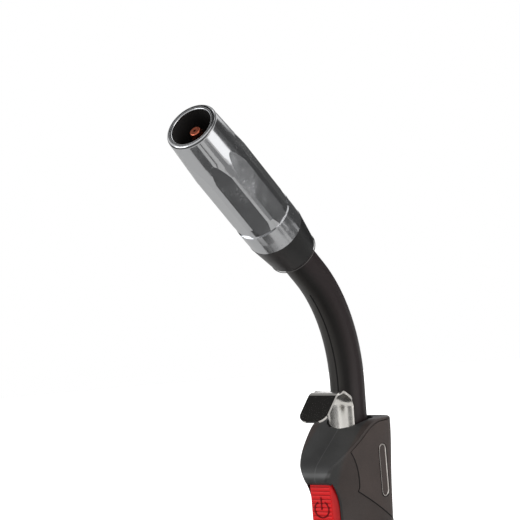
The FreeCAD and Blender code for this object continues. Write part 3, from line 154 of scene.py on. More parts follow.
class TorchColours(bpy.types.PropertyGroup):
    """The colours that a user would change."""
    plating: colour("#B9BABC", "Plating", "Nickel plating of the nozzle")
    bore: colour("#0D0B0A", "Bore", "Heat-stained inside of the nozzle")
    copper: colour("#B8644C", "Copper", "Contact tip and conductor")
    brass: colour("#C9A15A", "Brass", "Turned brass fittings")
    steel: colour("#A9ABAD", "Steel", "Springs, pin, liner and screws")
    stainless: colour("#E0DDD8", "Stainless", "Hanging hook")
    jacket: colour("#0D0A09", "Jacket", "Rubber jacket of the neck")
    # Painted light: the jacket's left is painted paler and its right browner, as the lamps fall on them.
    jacket_left_lit: colour("#2E2C2A", "Jacket left", "The jacket's paler left")
    jacket_right_lit: colour("#221A1B", "Jacket right", "The jacket's browner right")
    ring: colour("#2A2828", "Ring", "Insulating ring")
    # Painted shade: the ring is painted darker towards its right.
    ring_shaded_right: colour("#040404", "Ring right", "The insulating ring's darker right")
    # A paler colour for the bead on the ring's rear lip: a painted highlight along that edge.
    lip: colour("#4C4A49", "Lip", "Rubbed lip at the ring's rear edge")
    handle: colour("#2F2F2F", "Handle", "Moulded handle halves")
    cover: colour("#3E3532", "Cover", "Moulded side covers")
    trigger: colour("#DC1C20", "Trigger", "Red moulding of the trigger")
    mark: colour("#6E0C12", "Mark", "Dark lines of the standby sign")
    badge: colour("#CFCAC5", "Badge", "Raised outline of the badge")
    natural: colour("#D9D3C4", "Natural nylon", "Insulation and lead plug")
    rubber: colour("#191919", "Rubber", "Hose bush and seals")
    # The dark of the strip in the gap round the covers: painted shadow.
    gap_shadow: colour("#0B0A0A", "Gasket", "Thin seal between the covers and the shells")
    lead: colour("#2B4C9B", "Lead", "Insulation of the switch leads")


def sizes():
    """The sizes as they are set now."""
    return bpy.context.scene.torch_sizes


def colours():
    """The colours as they are set now."""
    return bpy.context.scene.torch_colours


# Nodes and materials

def add(tree, kind, inputs=None, **settings):
    """Adds a node of a kind with its settings, and gives each named input a value or a link."""
    made = tree.nodes.new("ShaderNode" + kind)
    for name, value in settings.items():
        setattr(made, name, value)
    for place, value in (inputs or {}).items():
        socket = made.inputs[place]
        if isinstance(value, bpy.types.NodeSocket):
            tree.links.new(value, socket)
        else:
            socket.default_value = value
    return made


def finish_of(name, **values):
    """A material with its shader's plain values set. Gives the material, its tree, its shader and the
    place on the object."""
    made = bpy.data.materials.new(name)
    made.use_nodes = True
    tree = made.node_tree
    shader = tree.nodes["Principled BSDF"]
    for place, value in values.items():
        shader.inputs[place.replace("_", " ")].default_value = value
    return made, tree, shader, add(tree, "TexCoord").outputs["Object"]


def connect(tree, shader, **outputs):
    """Links outputs to the shader's sockets of the same names."""
    for place, output in outputs.items():
        tree.links.new(output, shader.inputs[place.replace("_", " ")])


def darker(shade, share):
    """A colour at a share of its brightness, or brighter where the share is over 1."""
    return (shade[0] * share, shade[1] * share, shade[2] * share, 1.0)


def fits(pattern_size):
    """The scale at which a noise has features of that size, in metres."""
    return 1 / pattern_size


def paint_light_across(tree, place, colour_out, painted_light):
    """The colour turning into each tint as X goes from the tint's start to its end: painted light and shade
    across a part's sides.
    """
    for start, end, tint in painted_light:
        across = add(tree, "SeparateXYZ", {0: place})
        share = add(tree, "MapRange", {"Value": across.outputs["X"], "From Min": start, "From Max": end})
        colour_out = add(tree, "Mix", {0: share.outputs[0], 6: colour_out, 7: tint},
                         data_type="RGBA").outputs[2]
    return colour_out


def moulding(name, shade, roughness, painted_light=(), lit_flank=None):
    """Glass-filled resin off a spark-eroded mould: dull and even, with a fine grain, and patches a little
    glossier where gloves rub it. With a colour for its flanks it gets painted light like the handle's: lit
    flanks in that colour and a painted highlight along the nose ridge, and also a pale parting line."""
    made, tree, shader, place = finish_of(name, IOR=1.52, Specular_IOR_Level=0.3)
    tone = add(tree, "TexNoise", {"Vector": place, "Scale": fits(9 * MM), "Detail": 3.0})
    # The mould's own grain is under 0.1 mm, and is drawn coarser so that it shows.
    fine = add(tree, "TexNoise", {"Vector": place, "Scale": fits(0.55 * MM), "Detail": 2.0,
                                  "Roughness": 0.6})
    both = add(tree, "Math", {0: tone.outputs["Fac"], 1: fine.outputs["Fac"]}, operation="ADD")
    share = add(tree, "MapRange", {"Value": both.outputs[0], "From Min": 0.75, "From Max": 1.25})
    base = add(tree, "Mix", {0: share.outputs[0], 6: darker(shade, 0.86), 7: darker(shade, 1.15)},
               data_type="RGBA")
    gloss = add(tree, "MapRange", {"Value": tone.outputs["Fac"], "From Min": 0.35, "From Max": 0.7,
                                   "To Min": roughness - 0.07, "To Max": roughness + 0.06})
    bump = add(tree, "Bump", {"Height": fine.outputs["Fac"], "Strength": 0.22, "Distance": 0.08 * MM})
    colour_out = paint_light_across(tree, place, base.outputs[2], painted_light)
    # Painted warm light on the flanks, in the flank colour.
    if lit_flank:
        lit_flank_colour = add(tree, "Mix", {0: share.outputs[0], 6: darker(lit_flank, 0.62), 7: darker(lit_flank, 0.84)},
                    data_type="RGBA")
        colour_out = handle_light_and_parting_line(tree, place, colour_out, lit_flank_colour.outputs[2], shade)
    connect(tree, shader, Base_Color=colour_out, Roughness=gloss.outputs[0], Normal=bump.outputs[0])
    return made


def handle_light_and_parting_line(tree, place, colour_out, lit_flank_colour, shade):
    """The handle's halves: painted warm light on the flanks, as brown as the covers beside a greyer front, a
    painted highlight along the ridge above the trigger, and a pale parting line down the middle."""
    s = sizes()
    parts = add(tree, "SeparateXYZ", {0: place})
    off = add(tree, "Math", {0: parts.outputs["X"]}, operation="ABSOLUTE")
    front = add(tree, "MapRange", {"Value": parts.outputs["Z"],
                                   "From Min": s.corner_low, "From Max": s.corner_high,
                                   "To Min": s.narrow_front, "To Max": s.wide_front})
    # Painted light: past the front's edge the flanks turn to the lit flank colour.
    past = add(tree, "Math", {0: off.outputs[0], 1: front.outputs[0]}, operation="SUBTRACT")
    beside = add(tree, "MapRange", {"Value": past.outputs[0], "From Max": 1.0 * MM})
    painted_flank = add(tree, "Mix", {0: beside.outputs[0], 6: colour_out, 7: lit_flank_colour}, data_type="RGBA")
    # Painted highlight along the ridge above the trigger.
    above = add(tree, "Math", {0: parts.outputs["Z"], 1: s.nose_height}, operation="SUBTRACT")
    near = add(tree, "Math", {0: above.outputs[0]}, operation="ABSOLUTE")
    band = add(tree, "MapRange", {"Value": near.outputs[0], "From Min": 0.5 * MM, "From Max": 1.5 * MM,
                                  "To Min": 1.0, "To Max": 0.0})
    ahead = add(tree, "MapRange", {"Value": parts.outputs["Y"], "From Min": -s.nose_front,
                                   "From Max": 0.9 * MM - s.nose_front, "To Min": 1.0, "To Max": 0.0})
    wear_and_highlight = add(tree, "Math", {0: band.outputs[0], 1: ahead.outputs[0]}, operation="MULTIPLY")
    ridge_highlighted = add(tree, "Mix", {0: wear_and_highlight.outputs[0], 6: painted_flank.outputs[2], 7: darker(shade, 2.7)},
                 data_type="RGBA")
    line = add(tree, "MapRange", {"Value": off.outputs[0], "From Min": 0.08 * MM, "From Max": 0.24 * MM,
                                  "To Min": 0.6, "To Max": 0.0})
    parted = add(tree, "Mix", {0: line.outputs[0], 6: ridge_highlighted.outputs[2], 7: darker(shade, 3.2)},
                 data_type="RGBA")
    return parted.outputs[2]


def red_moulding(name, painted_shade=False):
    """Red polyamide off a polished mould: brighter and glossier than the handle, with faint flow marks."""
    shade = tuple(colours().trigger)
    made, tree, shader, place = finish_of(name, IOR=1.5, Specular_IOR_Level=0.2)
    flow = add(tree, "TexNoise", {"Vector": place, "Scale": fits(5 * MM), "Detail": 4.0})
    base = add(tree, "Mix", {0: flow.outputs["Fac"], 6: darker(shade, 0.84), 7: darker(shade, 1.12)},
               data_type="RGBA")
    gloss = add(tree, "MapRange", {"Value": flow.outputs["Fac"], "To Min": 0.38, "To Max": 0.52})
    fine = add(tree, "TexNoise", {"Vector": place, "Scale": fits(0.7 * MM), "Detail": 2.0})
    bump = add(tree, "Bump", {"Height": fine.outputs["Fac"], "Strength": 0.12, "Distance": 0.06 * MM})
    colour_out = base.outputs[2]
    # Painted shade between the ribs and on the flanks.
    if painted_shade:
        colour_out = trigger_painted_shade(tree, place, colour_out, shade)
    connect(tree, shader, Base_Color=colour_out, Roughness=gloss.outputs[0], Normal=bump.outputs[0])
    return made


def trigger_painted_shade(tree, place, colour_out, shade):
    """The trigger's face: painted shade darkens the face between its ribs, and painted shade darkens its
    flanks.
    """
    low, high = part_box("trigger")
    ribbed_from, ribbed_to = low.z + 4.5 * MM, high.z - 1.4 * MM
    parts = add(tree, "SeparateXYZ", {0: place})
    off = add(tree, "Math", {0: parts.outputs["X"]}, operation="ABSOLUTE")
    across = add(tree, "Math", {0: off.outputs[0], 1: sizes().rib_half_length - 0.1 * MM},
                 operation="LESS_THAN")
    below = add(tree, "Math", {0: parts.outputs["Z"], 1: ribbed_to}, operation="LESS_THAN")
    above = add(tree, "Math", {0: parts.outputs["Z"], 1: ribbed_from}, operation="GREATER_THAN")
    both = add(tree, "Math", {0: below.outputs[0], 1: above.outputs[0]}, operation="MULTIPLY")
    groove_shade_mask = add(tree, "Math", {0: both.outputs[0], 1: across.outputs[0]}, operation="MULTIPLY")
    # Painted shade in the grooves between the ribs.
    painted_shade = add(tree, "Mix", {0: groove_shade_mask.outputs[0], 6: colour_out, 7: darker(shade, 0.55)},
                  data_type="RGBA")
    # Painted shade on the trigger's flanks.
    side = add(tree, "MapRange", {"Value": off.outputs[0], "From Min": 5.0 * MM, "From Max": 7.2 * MM})
    painted_flank = add(tree, "Mix", {0: side.outputs[0], 6: painted_shade.outputs[2], 7: darker(shade, 0.3)},
                  data_type="RGBA")
    return painted_flank.outputs[2]


def painted_sign():
    """Dark red pad-printing ink on the sign: dull, with a slightly uneven edge."""
    shade = tuple(colours().mark)
    made, tree, shader, place = finish_of("sign_ink", Roughness=0.6, Specular_IOR_Level=0.1)
    uneven = add(tree, "TexNoise", {"Vector": place, "Scale": fits(0.8 * MM), "Detail": 2.0})
    base = add(tree, "Mix", {0: uneven.outputs["Fac"], 6: darker(shade, 0.75), 7: darker(shade, 1.2)},
               data_type="RGBA")
    connect(tree, shader, Base_Color=base.outputs[2])
    return made


def rubber(name, shade, roughness, painted_light=()):
    """Extruded and vulcanised rubber: near black, satin, with soft clouds of bloom and fine grain."""
    made, tree, shader, place = finish_of(name, IOR=1.5, Specular_IOR_Level=0.24)
    cloud = add(tree, "TexNoise", {"Vector": place, "Scale": fits(14 * MM), "Detail": 4.0})
    fine = add(tree, "TexNoise", {"Vector": place, "Scale": fits(0.8 * MM), "Detail": 2.0})
    base = add(tree, "Mix", {0: cloud.outputs["Fac"], 6: darker(shade, 0.8), 7: darker(shade, 1.3)},
               data_type="RGBA")
    gloss = add(tree, "MapRange", {"Value": cloud.outputs["Fac"], "From Min": 0.3, "From Max": 0.7,
                                   "To Min": roughness - 0.06, "To Max": roughness + 0.07})
    bump = add(tree, "Bump", {"Height": fine.outputs["Fac"], "Strength": 0.15, "Distance": 0.06 * MM})
    colour_out = paint_light_across(tree, place, base.outputs[2], painted_light)
    connect(tree, shader, Base_Color=colour_out, Roughness=gloss.outputs[0], Normal=bump.outputs[0])
    return made


def bend_end():
    """The place where the neck's middle line leaves the bend."""
    s = sizes()
    back = -s.bend_radius * (1 - math.cos(s.bend))
    return Vector((0, back, s.bend_start + s.bend_radius * math.sin(s.bend)))


def front_axis():
    """The way that the nozzle points."""
    return Vector((0, -math.sin(sizes().bend), math.cos(sizes().bend)))


def along_front(tree, place):
    """The place turned and moved so that its Z runs along the front axis from the end of the bend."""
    turn = -sizes().bend
    back = Matrix.Rotation(turn, 4, "X") @ bend_end()
    return add(tree, "Mapping", {"Vector": place, "Location": tuple(-back), "Rotation": (turn, 0, 0)})


def nickel_plating():
    """Bright nickel over a turned copper tube: a mirror with faint turning marks, fine dust of spatter in
    rubbed patches, the outer round of the mouth drawn near black, and a bore stained near black."""
    s = sizes()
    shade = tuple(colours().plating)
    made, tree, shader, place = finish_of("nickel_plated_copper")
    local = along_front(tree, place).outputs[0]
    parts = add(tree, "SeparateXYZ", {0: local})
    flat = add(tree, "CombineXYZ", {"X": parts.outputs["X"], "Y": parts.outputs["Y"]})
    radius = add(tree, "VectorMath", {0: flat.outputs[0]}, operation="LENGTH").outputs["Value"]
    lip = add(tree, "MapRange", {"Value": radius, "From Min": s.mouth_bore + 0.35 * MM,
                                 "From Max": s.mouth_bore + 0.6 * MM, "To Min": 1.0, "To Max": 0.0})
    deep = add(tree, "MapRange", {"Value": radius, "From Min": s.bore_radius,
                                  "From Max": s.bore_radius + 0.15 * MM, "To Min": 1.0, "To Max": 0.0})
    inside = add(tree, "Math", {0: parts.outputs["Z"], 1: s.mouth - 3 * MM}, operation="LESS_THAN")
    hidden = add(tree, "Math", {0: deep.outputs[0], 1: inside.outputs[0]}, operation="MULTIPLY")
    bore = add(tree, "Math", {0: lip.outputs[0], 1: hidden.outputs[0]}, operation="MAXIMUM")
    wear_and_highlight = add(tree, "TexNoise", {"Vector": place, "Scale": fits(16 * MM), "Detail": 5.0, "Roughness": 0.6})
    # The tool's marks are about 0.1 mm apart, and are drawn coarser so that they show.
    turned = add(tree, "Mapping", {"Vector": local, "Scale": (40.0, 40.0, fits(0.45 * MM))})
    lines = add(tree, "TexNoise", {"Vector": turned.outputs[0], "Scale": 1.0, "Detail": 2.0})
    specks = add(tree, "TexNoise", {"Vector": place, "Scale": fits(0.9 * MM), "Detail": 3.0,
                                    "Roughness": 0.7})
    dusty = add(tree, "MapRange", {"Value": specks.outputs["Fac"], "From Min": 0.6, "From Max": 0.72})
    where = add(tree, "MapRange", {"Value": wear_and_highlight.outputs["Fac"], "From Min": 0.5, "From Max": 0.66})
    dust = add(tree, "Math", {0: dusty.outputs[0], 1: where.outputs[0]}, operation="MULTIPLY")
    plated = add(tree, "Mix", {0: dust.outputs[0], 6: shade, 7: darker(shade, 0.85)}, data_type="RGBA")
    stained = add(tree, "Mix", {0: bore.outputs[0], 6: plated.outputs[2], 7: tuple(colours().bore)},
                  data_type="RGBA")
    smooth = add(tree, "MapRange", {"Value": wear_and_highlight.outputs["Fac"], "From Min": 0.35, "From Max": 0.7,
                                    "To Min": 0.1, "To Max": 0.2})
    dulled = add(tree, "Math", {0: dust.outputs[0], 1: 0.4, 2: smooth.outputs[0]}, operation="MULTIPLY_ADD")
    rough = add(tree, "Mix", {0: bore.outputs[0], 2: dulled.outputs[0], 3: 0.7}, data_type="FLOAT")
    # The outer round of the mouth is drawn near black.
    rim = add(tree, "MapRange", {"Value": radius, "From Min": s.mouth_outer,
                                 "From Max": s.mouth_outer + 0.25 * MM})
    tip = add(tree, "MapRange", {"Value": parts.outputs["Z"], "From Min": s.mouth - 0.9 * MM,
                                 "From Max": s.mouth - 0.6 * MM})
    dark_outline = add(tree, "Math", {0: rim.outputs[0], 1: tip.outputs[0]}, operation="MULTIPLY")
    base = add(tree, "Mix", {0: dark_outline.outputs[0], 6: stained.outputs[2], 7: darker(shade, 0.12)},
               data_type="RGBA")
    metal = add(tree, "Math", {0: 1.0, 1: bore.outputs[0]}, operation="SUBTRACT")
    bump = add(tree, "Bump", {"Height": lines.outputs["Fac"], "Strength": 0.03, "Distance": 0.02 * MM})
    connect(tree, shader, Base_Color=base.outputs[2], Roughness=rough.outputs[0], Metallic=metal.outputs[0],
            Normal=bump.outputs[0])
    return made


def turned_metal(name, shade, roughness, grit=0.5 * MM, along=False):
    """Turned or drawn metal: fine lines from the tool, and clouds of tarnish that dull it in places.
    The lines are drawn coarser than the tool leaves them, so that they show."""
    made, tree, shader, place = finish_of(name, Metallic=1.0)
    tarnish = add(tree, "TexNoise", {"Vector": place, "Scale": fits(6 * MM), "Detail": 5.0, "Roughness": 0.6})
    lined = along_front(tree, place).outputs[0] if along else place
    stretched = add(tree, "Mapping", {"Vector": lined, "Scale": (60.0, 60.0, fits(grit))})
    lines = add(tree, "TexNoise", {"Vector": stretched.outputs[0], "Scale": 1.0, "Detail": 2.0})
    base = add(tree, "Mix", {0: tarnish.outputs["Fac"], 6: darker(shade, 0.72), 7: darker(shade, 1.06)},
               data_type="RGBA")
    gloss = add(tree, "MapRange", {"Value": tarnish.outputs["Fac"], "From Min": 0.3, "From Max": 0.7,
                                   "To Min": roughness + 0.1, "To Max": roughness - 0.06})
    bump = add(tree, "Bump", {"Height": lines.outputs["Fac"], "Strength": 0.1, "Distance": 0.04 * MM})
    connect(tree, shader, Base_Color=base.outputs[2], Roughness=gloss.outputs[0], Normal=bump.outputs[0])
    return made


def polished_stainless():
    """Cold-rolled stainless strip, bright from the roll: near mirror on the tongue and duller on the
    saddle behind it, with long fine rolling lines and a few handling scuffs."""
    shade = tuple(colours().stainless)
    made, tree, shader, place = finish_of("bright_stainless", Metallic=1.0)
    stretched = add(tree, "Mapping", {"Vector": place, "Scale": (fits(0.5 * MM), 40.0, 40.0)})
    rolled = add(tree, "TexNoise", {"Vector": stretched.outputs[0], "Scale": 1.0, "Detail": 2.0})
    scuffs = add(tree, "TexNoise", {"Vector": place, "Scale": fits(4 * MM), "Detail": 6.0, "Roughness": 0.7})
    base = add(tree, "Mix", {0: scuffs.outputs["Fac"], 6: darker(shade, 0.9), 7: darker(shade, 1.03)},
               data_type="RGBA")
    gloss = add(tree, "MapRange", {"Value": scuffs.outputs["Fac"], "From Min": 0.4, "From Max": 0.75,
                                   "To Min": 0.08, "To Max": 0.14})
    tongue_end, saddle_front = -18 * MM, -13 * MM
    parts = add(tree, "SeparateXYZ", {0: place})
    behind = add(tree, "MapRange", {"Value": parts.outputs["Y"], "From Min": tongue_end,
                                    "From Max": saddle_front, "To Min": 0.0, "To Max": 0.1})
    worn = add(tree, "Math", {0: gloss.outputs[0], 1: behind.outputs[0]}, operation="ADD")
    bump = add(tree, "Bump", {"Height": rolled.outputs["Fac"], "Strength": 0.03, "Distance": 0.02 * MM})
    connect(tree, shader, Base_Color=base.outputs[2], Roughness=worn.outputs[0], Normal=bump.outputs[0])
    return made


def natural_nylon(name, shade):
    """Unfilled nylon or fibre sleeve: milky, slightly waxy, with faint yellowing."""
    made, tree, shader, place = finish_of(name, Roughness=0.42, Subsurface_Weight=0.1)
    shader.inputs["Subsurface Radius"].default_value = (1.2 * MM, 1.0 * MM, 0.7 * MM)
    aged = add(tree, "TexNoise", {"Vector": place, "Scale": fits(7 * MM), "Detail": 3.0})
    base = add(tree, "Mix", {0: aged.outputs["Fac"], 6: darker(shade, 0.85), 7: darker(shade, 1.05)},
               data_type="RGBA")
    connect(tree, shader, Base_Color=base.outputs[2])
    return made


def dress(material, *names):
    """Gives CAD nodes a material."""
    for name in names:
        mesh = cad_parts[name].data
        mesh.materials.clear()
        mesh.materials.append(material)


# Shapes

def piece(name, shape, material, body, sharp=40):
    """Turns a bmesh into an object that rides on a body. Edges sharper than that many degrees stay
    sharp."""
    bmesh.ops.remove_doubles(shape, verts=shape.verts, dist=0.001 * MM)
    bmesh.ops.recalc_face_normals(shape, faces=shape.faces)
    mesh = bpy.data.meshes.new(name)
    shape.to_mesh(mesh)
    shape.free()
    made = bpy.data.objects.new(name, mesh)
    bpy.context.scene.collection.objects.link(made)
    mesh.materials.append(material)
    mesh.shade_smooth()
    mesh.set_sharp_from_angle(angle=math.radians(sharp))
    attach(made, body)
    return made


def front_ring(radius, bead, along):
    """A round bead about the front axis, at a distance along it from the end of the bend."""
    s = sizes()
    shape = bmesh.new()
    place = Matrix.Translation((0, radius, 0)) @ Matrix.Rotation(math.radians(90), 4, "Y")
    bmesh.ops.create_circle(shape, cap_ends=False, segments=12, radius=bead, matrix=place)
    bmesh.ops.spin(shape, geom=shape.verts[:] + shape.edges[:], cent=(0, 0, 0), axis=(0, 0, 1),
                   dvec=(0, 0, 0), angle=math.radians(360), steps=96, use_duplicate=False, use_merge=True)
    bmesh.ops.rotate(shape, cent=(0, 0, 0), matrix=Matrix.Rotation(s.bend, 3, "X"), verts=shape.verts)
    bmesh.ops.translate(shape, vec=bend_end() + front_axis() * along, verts=shape.verts)
    return shape


def front_of(node, x, z):
    """Where a line along +Y at that X and height first meets a CAD node, or None."""
    hit, place, _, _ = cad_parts[node].ray_cast(Vector((x, -OUTSIDE, z)), Vector((0, 1, 0)))
    return place.y if hit else None


def right_of(node, y, z):
    """The X at which a line along -X first meets a CAD node, or None."""
    hit, place, _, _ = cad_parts[node].ray_cast(Vector((OUTSIDE, y, z)), Vector((-1, 0, 0)))
    return place.x if hit else None


def half_round(shape, width, rise, sunk):
    """A rounded bar's section in the YZ plane: it stands towards -Y, and its foot is sunk in the face."""
    made = bmesh.ops.create_circle(shape, cap_ends=True, segments=12, radius=width / 2,
                                   matrix=Matrix.Rotation(math.radians(90), 4, "Y"))
    bmesh.ops.scale(shape, vec=(1, (rise + sunk) / width, 1), verts=made["verts"])
    bmesh.ops.translate(shape, vec=(0, (sunk - rise) / 2, 0), verts=made["verts"])
    return made["verts"]


def box(shape, low, high):
    """A box between two corners."""
    made = bmesh.ops.create_cube(shape, size=1)
    low, high = Vector(low), Vector(high)
    bmesh.ops.scale(shape, vec=high - low, verts=made["verts"])
    bmesh.ops.translate(shape, vec=(low + high) / 2, verts=made["verts"])
    return made["verts"]


def outline_runs(node, highest, furthest_back):
    """The outer outline of a side cover below a height and ahead of a Y, as runs of points in order.
    It is where the cover's outer face, at least 12 mm from the middle, turns into its rim, and on the
    right cover the rims of the badge's recess as well."""
    shape = bmesh.new()
    shape.from_mesh(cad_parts[node].data)
    bmesh.ops.remove_doubles(shape, verts=shape.verts, dist=0.002 * MM)
    left = {}
    for e in shape.edges:
        if len(e.link_faces) == 2 and e.calc_face_angle(0) > math.radians(50):
            outward = sorted(abs(f.normal.x) for f in e.link_faces)
            ends = [v.co for v in e.verts]
            outer = all(abs(v.x) > 12 * MM for v in ends)
            if outward[0] < 0.5 < 0.6 < outward[1] and outer and max(v.z for v in ends) < highest \
                    and max(v.y for v in ends) < furthest_back:
                for v in e.verts:
                    left.setdefault(v, set()).add(e)
    runs = []
    while any(left.values()):
        start = min((v for v in left if left[v]), key=lambda v: (len(left[v]) != 1, v.index))
        run = [start]
        while left[run[-1]]:
            e = min(left[run[-1]], key=lambda each: each.index)
            far = e.other_vert(run[-1])
            left[run[-1]].discard(e)
            left[far].discard(e)
            run.append(far)
        runs.append([v.co.copy() for v in run])
    shape.free()
    return [run for run in runs if sum((b - a).length for a, b in zip(run, run[1:])) > 4 * MM]


def tube(shape, run, radius):
    """A thin bead along a run of points. Its section keeps the way of the first step, so the bead
    flattens where the run turns, and its first end stays open."""
    aim = (run[1] - run[0]).to_track_quat("Z", "Y").to_matrix().to_4x4()
    made = bmesh.ops.create_circle(shape, cap_ends=True, segments=6, radius=radius,
                                   matrix=Matrix.Translation(run[0]) @ aim)
    ring = list({f for v in made["verts"] for f in v.link_faces})
    for here, there in zip(run, run[1:]):
        grown = bmesh.ops.extrude_face_region(shape, geom=ring)["geom"]
        bmesh.ops.delete(shape, geom=ring, context="FACES_ONLY")
        ring = [g for g in grown if isinstance(g, bmesh.types.BMFace)]
        verts = [g for g in grown if isinstance(g, bmesh.types.BMVert)]
        bmesh.ops.translate(shape, vec=there - here, verts=verts)


class TORCH_OT_front(bpy.types.Operator):
    """Finishes the front end, and lays a pale bead along its ring's lip as a painted highlight, and the
    rubbed rim of its mouth.
    """
    bl_idname = "torch.front"
    bl_label = "Front end"

    def execute(self, context):
        s, c = sizes(), colours()
        dress(nickel_plating(), "gas_nozzle")
        dress(turned_metal("turned_copper", darker(c.copper, 0.95), 0.3, along=True), "contact_tip")
        dress(turned_metal("turned_brass", tuple(c.brass), 0.26), "tip_holder", "neck_head", "neck_plug",
              "neck_nut", "connector_block", "hose_nipple")
        dress(natural_nylon("silica_sleeve", tuple(c.natural)), "spatter_guard")
        dress(turned_metal("drawn_steel", tuple(c.steel), 0.3, 0.8 * MM), "nozzle_spring", "wire_liner",
              "trigger_pin", "shell_screws")
        # Painted shade: the ring darkens towards its right side.
        shaded = ((5.5 * MM, 10.5 * MM, tuple(c.ring_shaded_right)),)
        dress(moulding("phenolic_moulding", tuple(c.ring), 0.4, shaded), "insulating_ring")
        # A paler bead on the ring's rear lip: a painted highlight along that edge.
        wear_and_highlight = moulding("lip_highlight_phenolic", tuple(c.lip), 0.32)
        piece("ring_lip_highlight", front_ring(s.lip_radius, s.lip_highlight_bead, s.front_run), wear_and_highlight, "body")
        worn = turned_metal("rubbed_plating", tuple(c.plating), 0.16)
        # The bead lies just inside the mouth, so that it doesn't stand out in front of it.
        rim = front_ring(s.mouth_bore + 0.1 * MM, s.rim_bead, s.mouth - 1.3 * s.rim_bead)
        piece("mouth_rim", rim, worn, "nozzle")
        return {"FINISHED"}


class TORCH_OT_neck(bpy.types.Operator):
    """Finishes the neck and lays the parting lines of its jacket, which run part way round the bend."""
    bl_idname = "torch.neck"
    bl_label = "Neck"

    def execute(self, context):
        s, c = sizes(), colours()
        # Painted light on the jacket: its left is painted paler and its right browner than the middle between
        # them.
        lit_sides = ((3.5 * MM, 0.5 * MM, tuple(c.jacket_left_lit)), (4.8 * MM, 6.8 * MM, tuple(c.jacket_right_lit)))
        dress(rubber("rubber_jacket", tuple(c.jacket), 0.42, lit_sides), "neck_sleeve")
        dress(natural_nylon("woven_insulation", tuple(c.natural)), "neck_insulation", "lead_plug")
        dress(turned_metal("drawn_copper", tuple(c.copper), 0.3, 0.8 * MM), "neck_conductor",
              "switch_terminals")
        dress(rubber("nitrile_rubber", tuple(c.rubber), 0.5), "plug_o_rings", "hose_bush")
        parting = rubber("parting_line", darker(c.jacket, 0.3), 0.8)
        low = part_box("left_shell")[1].z + 0.2 * MM
        for side, name in ((-1, "neck_seam_inner"), (1, "neck_seam_outer")):
            seam = bmesh.new()
            ring = bmesh.ops.create_circle(seam, cap_ends=False, segments=6, radius=s.seam_width / 2)
            bmesh.ops.scale(seam, vec=(1, 0.5, 1), verts=ring["verts"])
            bmesh.ops.translate(seam, vec=(0, side * s.neck_radius, low), verts=ring["verts"])
            grown = bmesh.ops.extrude_edge_only(seam, edges=seam.edges[:])["geom"]
            verts = [v for v in grown if isinstance(v, bmesh.types.BMVert)]
            edges = [e for e in grown if isinstance(e, bmesh.types.BMEdge)]
            bmesh.ops.translate(seam, vec=(0, 0, s.bend_start - low), verts=verts)
            bmesh.ops.spin(seam, geom=verts + edges, cent=(0, -s.bend_radius, s.bend_start),
                           axis=(1, 0, 0), dvec=(0, 0, 0), angle=s.seam_turn, steps=30,
                           use_duplicate=False, use_merge=False)
            bmesh.ops.holes_fill(seam, edges=seam.edges[:], sides=0)
            piece(name, seam, parting, "body")
        return {"FINISHED"}


class TORCH_OT_handle(bpy.types.Operator):
    """Finishes the handle's halves, covers, collar and badge, and lays a dark strip round the covers' front
    as painted shadow in their gap.
    """
    bl_idname = "torch.handle"
    bl_label = "Handle"

    def execute(self, context):
        s, c = sizes(), colours()
        # The halves get painted warm light on their flanks in the covers' colour, and a painted highlight on
        # the nose ridge.
        dress(moulding("handle_polyamide", tuple(c.handle), 0.5, lit_flank=tuple(c.cover)),
              "left_shell", "right_shell")
        dress(moulding("cover_polyamide", tuple(c.cover), 0.54), "left_side_cover", "right_side_cover")
        dress(moulding("collar_polyamide", tuple(c.ring), 0.46), "rear_collar")
        dress(moulding("badge_film", tuple(c.cover), 0.42), "badge_plate")
        # A dark strip in the gap round each cover's front: painted shadow.
        gap_shadow = rubber("cover_gap_shadow", tuple(c.gap_shadow), 0.6)
        for side in ("left", "right"):
            shadow_strip = bmesh.new()
            for run in outline_runs(side + "_side_cover", s.gap_shadow_top, s.gap_shadow_back):
                tube(shadow_strip, run, s.gap_shadow_radius)
            piece(side + "_cover_gap_shadow", shadow_strip, gap_shadow, "body")
        return {"FINISHED"}


class TORCH_OT_hook(bpy.types.Operator):
    """Finishes the hanging hook, as the same strip with its tumbled edges broken."""
    bl_idname = "torch.hook"
    bl_label = "Hook"

    def execute(self, context):
        steel = polished_stainless()
        dress(steel, "hanging_hook")
        strip = bmesh.new()
        strip.from_mesh(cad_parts["hanging_hook"].data)
        bmesh.ops.remove_doubles(strip, verts=strip.verts, dist=0.02 * MM)
        bmesh.ops.dissolve_limit(strip, angle_limit=math.radians(1.5), verts=strip.verts, edges=strip.edges)
        sharp = [e for e in strip.edges if e.is_manifold and e.calc_face_angle() > math.radians(50)]
        bmesh.ops.bevel(strip, geom=sharp, offset=sizes().hook_edge, offset_type="OFFSET", affect="EDGES",
                        segments=1, profile=0.5, material=-1, clamp_overlap=True)
        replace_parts(piece("hook_strip", strip, steel, "body", sharp=30), "hanging_hook")
        return {"FINISHED"}


